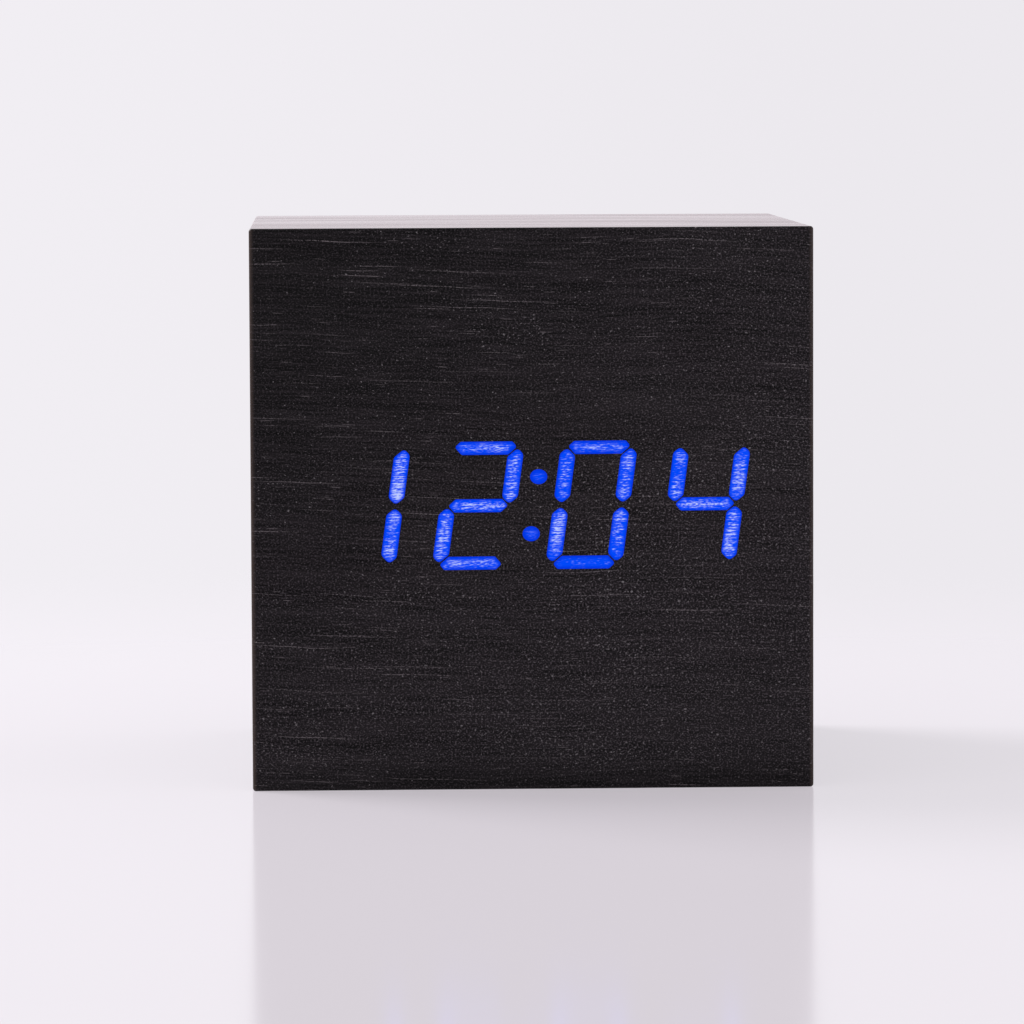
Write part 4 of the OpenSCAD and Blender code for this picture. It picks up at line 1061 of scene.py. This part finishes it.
def pan_screws(node, axis, head_h, shank_d):
    slot = "xyz".index(axis)
    screws, cutter = bmesh.new(), bmesh.new()
    for low, high in solids(node):
        origin = (low + high) / 2
        origin[slot] = 0
        top, tip = high[slot], low[slot]
        seat, head = top - head_h, (high.x - low.x) / 2
        profile = [(tip, 0), (tip + POINT_L, shank_d * POINT_SHARE)]
        for k in range(int((seat - tip - UNCUT_L) / THREAD_PITCH)):
            at = tip + THREAD_START + k * THREAD_PITCH
            wide = shank_d * min(1.0, TAPER_START + TAPER_STEP * k)
            profile += [(at, ROOT_SHARE * wide), (at + THREAD_PITCH * CREST_FROM, CREST_SHARE * wide),
                        (at + THREAD_PITCH * CREST_TO, CREST_SHARE * wide)]
        profile += [(seat, shank_d * NECK_SHARE), (seat, head - HEAD_BREAK), (seat + HEAD_BREAK, head)]
        profile += quarter(top - CROWN_RISE, head, min(HEAD_ROLL, head_h - HEAD_SIDE))
        profile += [(top - CROWN_NEAR_TOP, head * CROWN_SHARE), (top, 0)]
        turned(screws, origin, axis, profile, sides=40)
        cross_cutter(cutter, origin, axis, top, head * RECESS_REACH)
    return carve(screws, cutter)


for node, row in SCREWS.items():
    dress(node, "set", pan_screws(node, *row))

# %% [markdown]
# ## Slide knob and power pin
# The knob of the slide switch has fine ribs for a fingernail. The socket's pin is a brass rod with a
# rounded nose. Both are small, but they are what the eye finds on a black cover.

# %% Knob and pin
RIBS, RIB_DEPTH, KNOB_EASE = 4, 0.18, 0.12
RIB_FROM, RIB_TO, RIB_END = 0.2, 0.6, 0.8
NOSE_SHARE, NOSE_STEPS = 0.85, 8


def ribbed_knob():
    low, high = box_mm("slide_knob")
    middle = (low + high) / 2
    groove = high.y - RIB_DEPTH
    outline = [(low.x, low.y), (high.x, low.y)]
    step = (high.x - low.x) / RIBS
    for k in range(RIBS):
        start = high.x - k * step
        outline += [(start, groove), (start - step * RIB_FROM, high.y), (start - step * RIB_TO, high.y),
                    (start - step * RIB_END, groove)]
    outline.append((low.x, groove))
    rings = []
    for z, pull in ((low.z, KNOB_EASE), (low.z + KNOB_EASE, 0), (high.z - KNOB_EASE, 0), (high.z, KNOB_EASE)):
        ring = []
        for x, y in outline:
            side = held((x - middle.x) / (high.x - middle.x), 1.0)
            ring.append((x - side * pull, y - pull if y > middle.y else y, z))
        rings.append(ring)
    mesh = bmesh.new()
    loft(mesh, rings)
    return mesh


def socket_pin():
    low, high = box_mm("power_pin")
    x, _, z = (low + high) / 2
    radius = (high.x - low.x) / 2
    nose = quarter(high.y, radius, radius * NOSE_SHARE, NOSE_STEPS)
    mesh = bmesh.new()
    turned(mesh, (x, 0, z), "y", [(low.y, 0), (low.y, radius)] + nose + [(high.y, 0)], sides=32)
    return mesh


dress("slide_knob", "ribbed", ribbed_knob())
dress("power_pin", "turned", socket_pin())

# %% [markdown]
# ## Cells and springs
# Three slim cells lie side by side behind the door. A cell is a steel can in a printed sleeve that shrinks
# over both rims: the button end shows a white washer and a steel nipple, the other end a flat steel disc.
# The springs narrow towards the cell. A spring is a round wire that is swept along its own helix.

# %% The three cells
NIPPLE_L, NIPPLE_R = 1.2, 1.9
SLEEVE_LIP = 1.3
GOLD_RING = 8


def side_ends(low, high):
    """The side that a piece lies to, 1 or -1, and the x of its inner and of its outer end."""
    return (1, low.x, high.x) if high.x + low.x > 0 else (-1, high.x, low.x)


def cell_set():
    mesh = bmesh.new()
    for low, high in solids("battery_cells"):
        way, base, tip = side_ends(low, high)
        radius = (high.z - low.z) / 2
        shoulder = tip - way * NIPPLE_L
        lip = radius - SLEEVE_LIP
        foot = [(0.25, 0), (0.25, lip - 0.2), (0.12, lip), (0.05, lip), (0, lip + 0.15), (0, radius - 0.45),
                (0.13, radius - 0.13), (0.45, radius)]
        crown = [(-0.55, radius), (-0.16, radius - 0.16), (0, radius - 0.5), (0, lip), (-0.12, lip - 0.1),
                 (-0.12, NIPPLE_R + 0.25), (0.02, NIPPLE_R)]
        nipple = [(-0.3, NIPPLE_R), (-0.08, NIPPLE_R - 0.12), (0, NIPPLE_R - 0.4), (0, 0)]
        profile = [(start + way * step, r)
                   for start, rows in ((base, foot), (shoulder, crown), (tip, nipple)) for step, r in rows]
        wrap, steel, washer = range(3)
        bands = [steel] * 3 + [wrap] * 9 + [washer] + [steel] * 5
        middle = (low + high) / 2
        turned(mesh, (0, middle.y, middle.z), "x", profile, sides=64, finish_of=bands)
    return mesh


def sleeve_finish():
    """A dark sleeve with a gold ring at the button end of each cell, drawn from the place along it."""
    finish = Finish("cell_sleeve", Specular_IOR_Level=0.5)
    place = finish.place()
    x, _, z = finish.parts(place)
    flow = finish.cloud(place, scale=0.15)
    grit = finish.cloud(place, scale=2.0)
    colour = finish.blend(finish.ease(flow, 0.3, 0.7), tint(30, 44, 50), tint(40, 58, 64))
    for low, high in solids("battery_cells"):
        way, _, tip = side_ends(low, high)
        start = tip * way - (NIPPLE_L + GOLD_RING)
        band = (x * way > start) * (z > low.z) * (z < high.z)
        colour = finish.blend(band, colour, tint(186, 152, 92))
    finish.feed("Base Color", colour)
    finish.feed("Roughness", 0.26 + grit.swing(0.12))
    finish.emboss(flow * 3 + grit * 0.3, 0.02, 0.3)
    return finish


make_piece("battery_cells_wrapped", cell_set(), [sleeve_finish(), FINISHES["nickel"], FINISHES["white_abs"]],
           "case", ["battery_cells"])

# %% Springs of round wire
WIRE_END_SHARE = 0.6
SPRING_TURNS, TURN_STEPS = 3.5, 28
SPRING_WIRE, SPRING_WIDE, SPRING_NARROW = 0.6, 8.0, 4.4


def swept(mesh, path, radius, sides):
    """A round wire through the points of a path, with a narrowed end at each side."""
    last = len(path) - 1
    normal = (path[1] - path[0]).orthogonal()
    rings = []
    for k, point in enumerate(path):
        ahead = (path[min(k + 1, last)] - path[max(k - 1, 0)]).normalized()
        normal = (normal - ahead * normal.dot(ahead)).normalized()
        side = ahead.cross(normal)
        reach = radius * (WIRE_END_SHARE if k in (0, last) else 1.0)
        rings.append([point + reach * (math.cos(a) * normal + math.sin(a) * side)
                      for a in [2 * math.pi * i / sides for i in range(sides)]])
    loft(mesh, rings)


def cell_axis(low, high):
    """The axis, as y and z, of the cell that a spring presses on."""
    z = (low.z + high.z) / 2
    axes = [((a.y + b.y) / 2, (a.z + b.z) / 2) for a, b in solids("battery_cells")]
    return min(axes, key=lambda axis: abs(axis[1] - z))


def spring_set():
    mesh = bmesh.new()
    steps = int(TURN_STEPS * SPRING_TURNS)
    for low, high in solids("battery_springs"):
        side, _, foot = side_ends(low, high)
        y, z = cell_axis(low, high)
        path = []
        for k in range(steps + 1):
            t = k / steps
            angle = 2 * math.pi * SPRING_TURNS * t
            around = angle if side < 0 else math.pi - angle
            radius = (SPRING_WIDE + (SPRING_NARROW - SPRING_WIDE) * t - SPRING_WIRE) / 2
            climb = SPRING_WIRE / 2 + (high.x - low.x - SPRING_WIRE) * t
            path.append(Vector((foot - side * climb, y + radius * math.cos(around),
                                z + radius * math.sin(around))))
        swept(mesh, path, SPRING_WIRE / 2, sides=10)
    return mesh


dress("battery_springs", "wound", spring_set(), WIRE_CREASE)

# %% [markdown]
# ## Leads and ribbon
# A red and a black lead carry the battery current to the main board, and a grey ribbon carries the figures
# to the display. A lead is a swept wire with its tinned ends bare. The ribbon is eight insulated wires
# moulded side by side, so its section is a row of small rounds, swept along the same gentle rise as in the
# CAD model.

# %% Two leads
LEAD_D, LEAD_BOW = 1.2, 1.0
LEAD_SHIFT = {"positive_lead": 0.0, "negative_lead": 2.4}
LEAD_STEPS, BARE_STEPS = 36, 2
CORE_SHARE = 0.3


def lead(node):
    low, high = box_mm(node)
    side, _, outer = side_ends(low, high)
    y = (low.y + high.y) / 2
    path = []
    for k in range(LEAD_STEPS + 1):
        t = k / LEAD_STEPS
        inward = LEAD_D / 2 + LEAD_SHIFT[node] * t + LEAD_BOW * math.sin(math.pi * t)
        path.append(Vector((outer - side * inward, y, low.z + (high.z - low.z) * t)))
    jacket, core = bmesh.new(), bmesh.new()
    swept(jacket, path[BARE_STEPS:-BARE_STEPS], LEAD_D / 2, sides=20)
    swept(core, path, LEAD_D * CORE_SHARE, sides=14)
    dress(node, "jacket", jacket, WIRE_CREASE)
    make_piece(f"{node}_tinned_ends", core, [FINISHES["zinc_steel"]], "case", (), WIRE_CREASE)


for node in LEAD_SHIFT:
    lead(node)

# %% The ribbon
RIBBON_WIRES = 8
RIBBON_STEPS, ROUND_STEPS = 40, 8
ROUND_H, WEB_H = 0.45, 0.1
ribbon_low, ribbon_high = box_mm("ribbon_cable")
ribbon_pitch = (ribbon_high.x - ribbon_low.x) / RIBBON_WIRES


def ribbon():
    start_low, start_high = box_mm("display_plug")
    end_low, end_high = box_mm("main_plug")
    start = Vector((start_high.y, (start_low.z + start_high.z) / 2))
    end = Vector((end_low.y, (end_low.z + end_high.z) / 2))
    way = end - start
    upper = []
    for wire in range(RIBBON_WIRES):
        centre = ribbon_low.x + (wire + 0.5) * ribbon_pitch
        for k in range(ROUND_STEPS + 1):
            angle = math.pi * (1 - k / ROUND_STEPS)
            upper.append((centre + ribbon_pitch * 0.5 * math.cos(angle),
                          WEB_H + (ROUND_H - WEB_H) * math.sin(angle)))
    section = upper + [(x, -h) for x, h in reversed(upper)]
    rings = []
    for k in range(RIBBON_STEPS + 1):
        t = k / RIBBON_STEPS
        middle = start + Vector((way.x * t, way.y * (1 - math.cos(math.pi * t)) / 2))
        slope = Vector((way.x, way.y * math.pi / 2 * math.sin(math.pi * t))).normalized()
        rings.append([(x, middle.x - slope.y * h, middle.y + slope.x * h) for x, h in section])
    mesh = bmesh.new()
    loft(mesh, rings)
    bmesh.ops.remove_doubles(mesh, verts=mesh.verts, dist=JOIN)
    return mesh


def ribbon_finish():
    """Grey insulation with one red edge wire, as ribbons mark their first wire."""
    finish = Finish("ribbon_wires", Specular_IOR_Level=0.4)
    place = finish.place()
    flow = finish.cloud(place, scale=0.6)
    first = finish.parts(place)[0] < ribbon_low.x + ribbon_pitch
    grey = finish.blend(flow, tint(168, 170, 174), tint(192, 193, 196))
    finish.feed("Base Color", finish.blend(first, grey, tint(170, 40, 38)))
    finish.feed("Roughness", 0.42 + flow * 0.12)
    finish.emboss(flow, 0.01, 0.4)
    return finish


make_piece("ribbon_cable_wires", ribbon(), [ribbon_finish()], "case", ["ribbon_cable"], SOFT_CREASE)

# %% [markdown]
# ## Camera
# The camera is the one that took the picture: a long lens, a little to the left of the clock and a little
# above it. A long lens keeps the front square, and shows only a sliver of the top. Its place, turn and lens
# were fitted to the corners of the cube.

# %% Camera
CAMERA_PLACE = Vector((-24.5, -718.1, 85.3))
CAMERA_TURN = Vector((-4.307, 0.318, -1.851))
CAMERA_LENS, CAMERA_SENSOR = 199.9, 36.0
camera_data = bpy.data.cameras.new("camera")
camera_data.lens = CAMERA_LENS
camera_data.sensor_width = CAMERA_SENSOR
camera = add_object("camera", camera_data)
aim = Matrix.Rotation(math.radians(CAMERA_TURN.length), 4, CAMERA_TURN.normalized())
level_view = Matrix.Rotation(math.pi / 2, 4, "X")
camera.matrix_world = Matrix.Translation(CAMERA_PLACE * MM) @ aim @ level_view
bpy.context.scene.camera = camera
print("camera stands at", [round(v, 3) for v in camera.matrix_world.translation])

# %% [markdown]
# ## Table
# The clock stands on a pale table with a satin polish, which shows a soft reflection of it. A studio table
# is a sheet without a visible rear edge. Here a flat disc does the same: it turns clear towards its rim, and
# sooner behind the clock than in front of it, so that it melts into the backdrop. The camera sees part of
# its colour as plain light, as a white room lifts every shadow.

# %% Table top
TABLE_RADIUS = 0.9
TABLE_FADE = (0.2 / MM, 0.44 / MM)
TABLE_MIDDLE = (0.0, -0.14 / MM, 0.0)
GLOSS_SHARE = 0.25
SHADOW_LIFT = 0.62


def table_finish():
    """Pale and slightly glossy, and thinner towards its rim, so that it melts into the background."""
    finish = Finish("pale_table", Roughness=0.7, Specular_IOR_Level=0.0)
    place = finish.place()
    mottle = finish.cloud(place, scale=0.02)
    finish.feed("Base Color", finish.blend(mottle, tint(244, 237, 245), tint(246, 239, 247)))
    bright = finish.node("ShaderNodeEmission", {}, {"Color": tint(245, 238, 246), "Strength": 1.0})
    gloss = finish.node("ShaderNodeBsdfGlossy", {}, {"Color": (0.88, 0.93, 0.9, 1), "Roughness": 0.13})
    clear = finish.node("ShaderNodeBsdfTransparent")
    away = finish.node("ShaderNodeVectorMath", {"operation": "DISTANCE"}, {0: place, 1: TABLE_MIDDLE},
                       out="Value")
    surface = Wire(finish, finish.shader.outputs[0])
    for share, layer in ((finish.looked_at() * SHADOW_LIFT, bright), (GLOSS_SHARE, gloss),
                         (finish.ease(away, *TABLE_FADE), clear)):
        surface = finish.node("ShaderNodeMixShader", {}, {0: share, 1: surface, 2: layer})
    finish.join(finish.tree.nodes["Material Output"].inputs["Surface"], surface)
    return finish


table_mesh = bmesh.new()
bmesh.ops.create_circle(table_mesh, cap_ends=True, radius=TABLE_RADIUS, segments=96)
table_data = bpy.data.meshes.new("table")
table_mesh.to_mesh(table_data)
table_mesh.free()
table_data.materials.append(table_finish().material)
table = add_object("table", table_data)
print("table", TABLE_RADIUS, "m")

# %% [markdown]
# ## Light
# One softbox stands behind the clock on the left, so the top shines, the front stays dark, and the shadow
# falls to the right and to the front. The rest comes evenly from the white room. The world holds both of
# its looks: the plain grey that lights the clock, and the paper that the camera sees behind it, which is a
# little paler on the left.

# %% Light
WORLD_LIGHT = 0.65
PAPER_SPAN = (-0.07, 0.11)
LAMP_PLACE, LAMP_AIM = Vector((-0.75, 0.42, 0.66)), Vector((0, 0, 0.03))
LAMP_WIDE, LAMP_HIGH, LAMP_POWER = 0.6, 0.45, 8.8
world = bpy.data.worlds.new("studio")
bpy.context.scene.world = world
world.use_nodes = True
studio = Net(world.node_tree)
# In a world, Generated is the direction of view, so its x tells left from right.
sideways, _, _ = studio.parts(studio.node("ShaderNodeTexCoord", out="Generated"))
paper = studio.blend(studio.ease(sideways, *PAPER_SPAN), tint(241, 238, 243), tint(236, 233, 238))
backdrop = studio.blend(studio.looked_at(), (WORLD_LIGHT, WORLD_LIGHT, WORLD_LIGHT, 1), paper)
studio.join(world.node_tree.nodes["Background"].inputs["Color"], backdrop)

lamp_data = bpy.data.lights.new("softbox", "AREA")
lamp_data.shape = "RECTANGLE"
lamp_data.size, lamp_data.size_y = LAMP_WIDE, LAMP_HIGH
lamp_data.energy = LAMP_POWER
lamp = add_object("softbox", lamp_data)
lamp.location = LAMP_PLACE
lamp.rotation_euler = (LAMP_AIM - LAMP_PLACE).to_track_quat("-Z", "Y").to_euler()
lamp.visible_camera = False
bpy.context.scene.view_settings.view_transform = "Standard"
print("softbox", LAMP_POWER, "W")
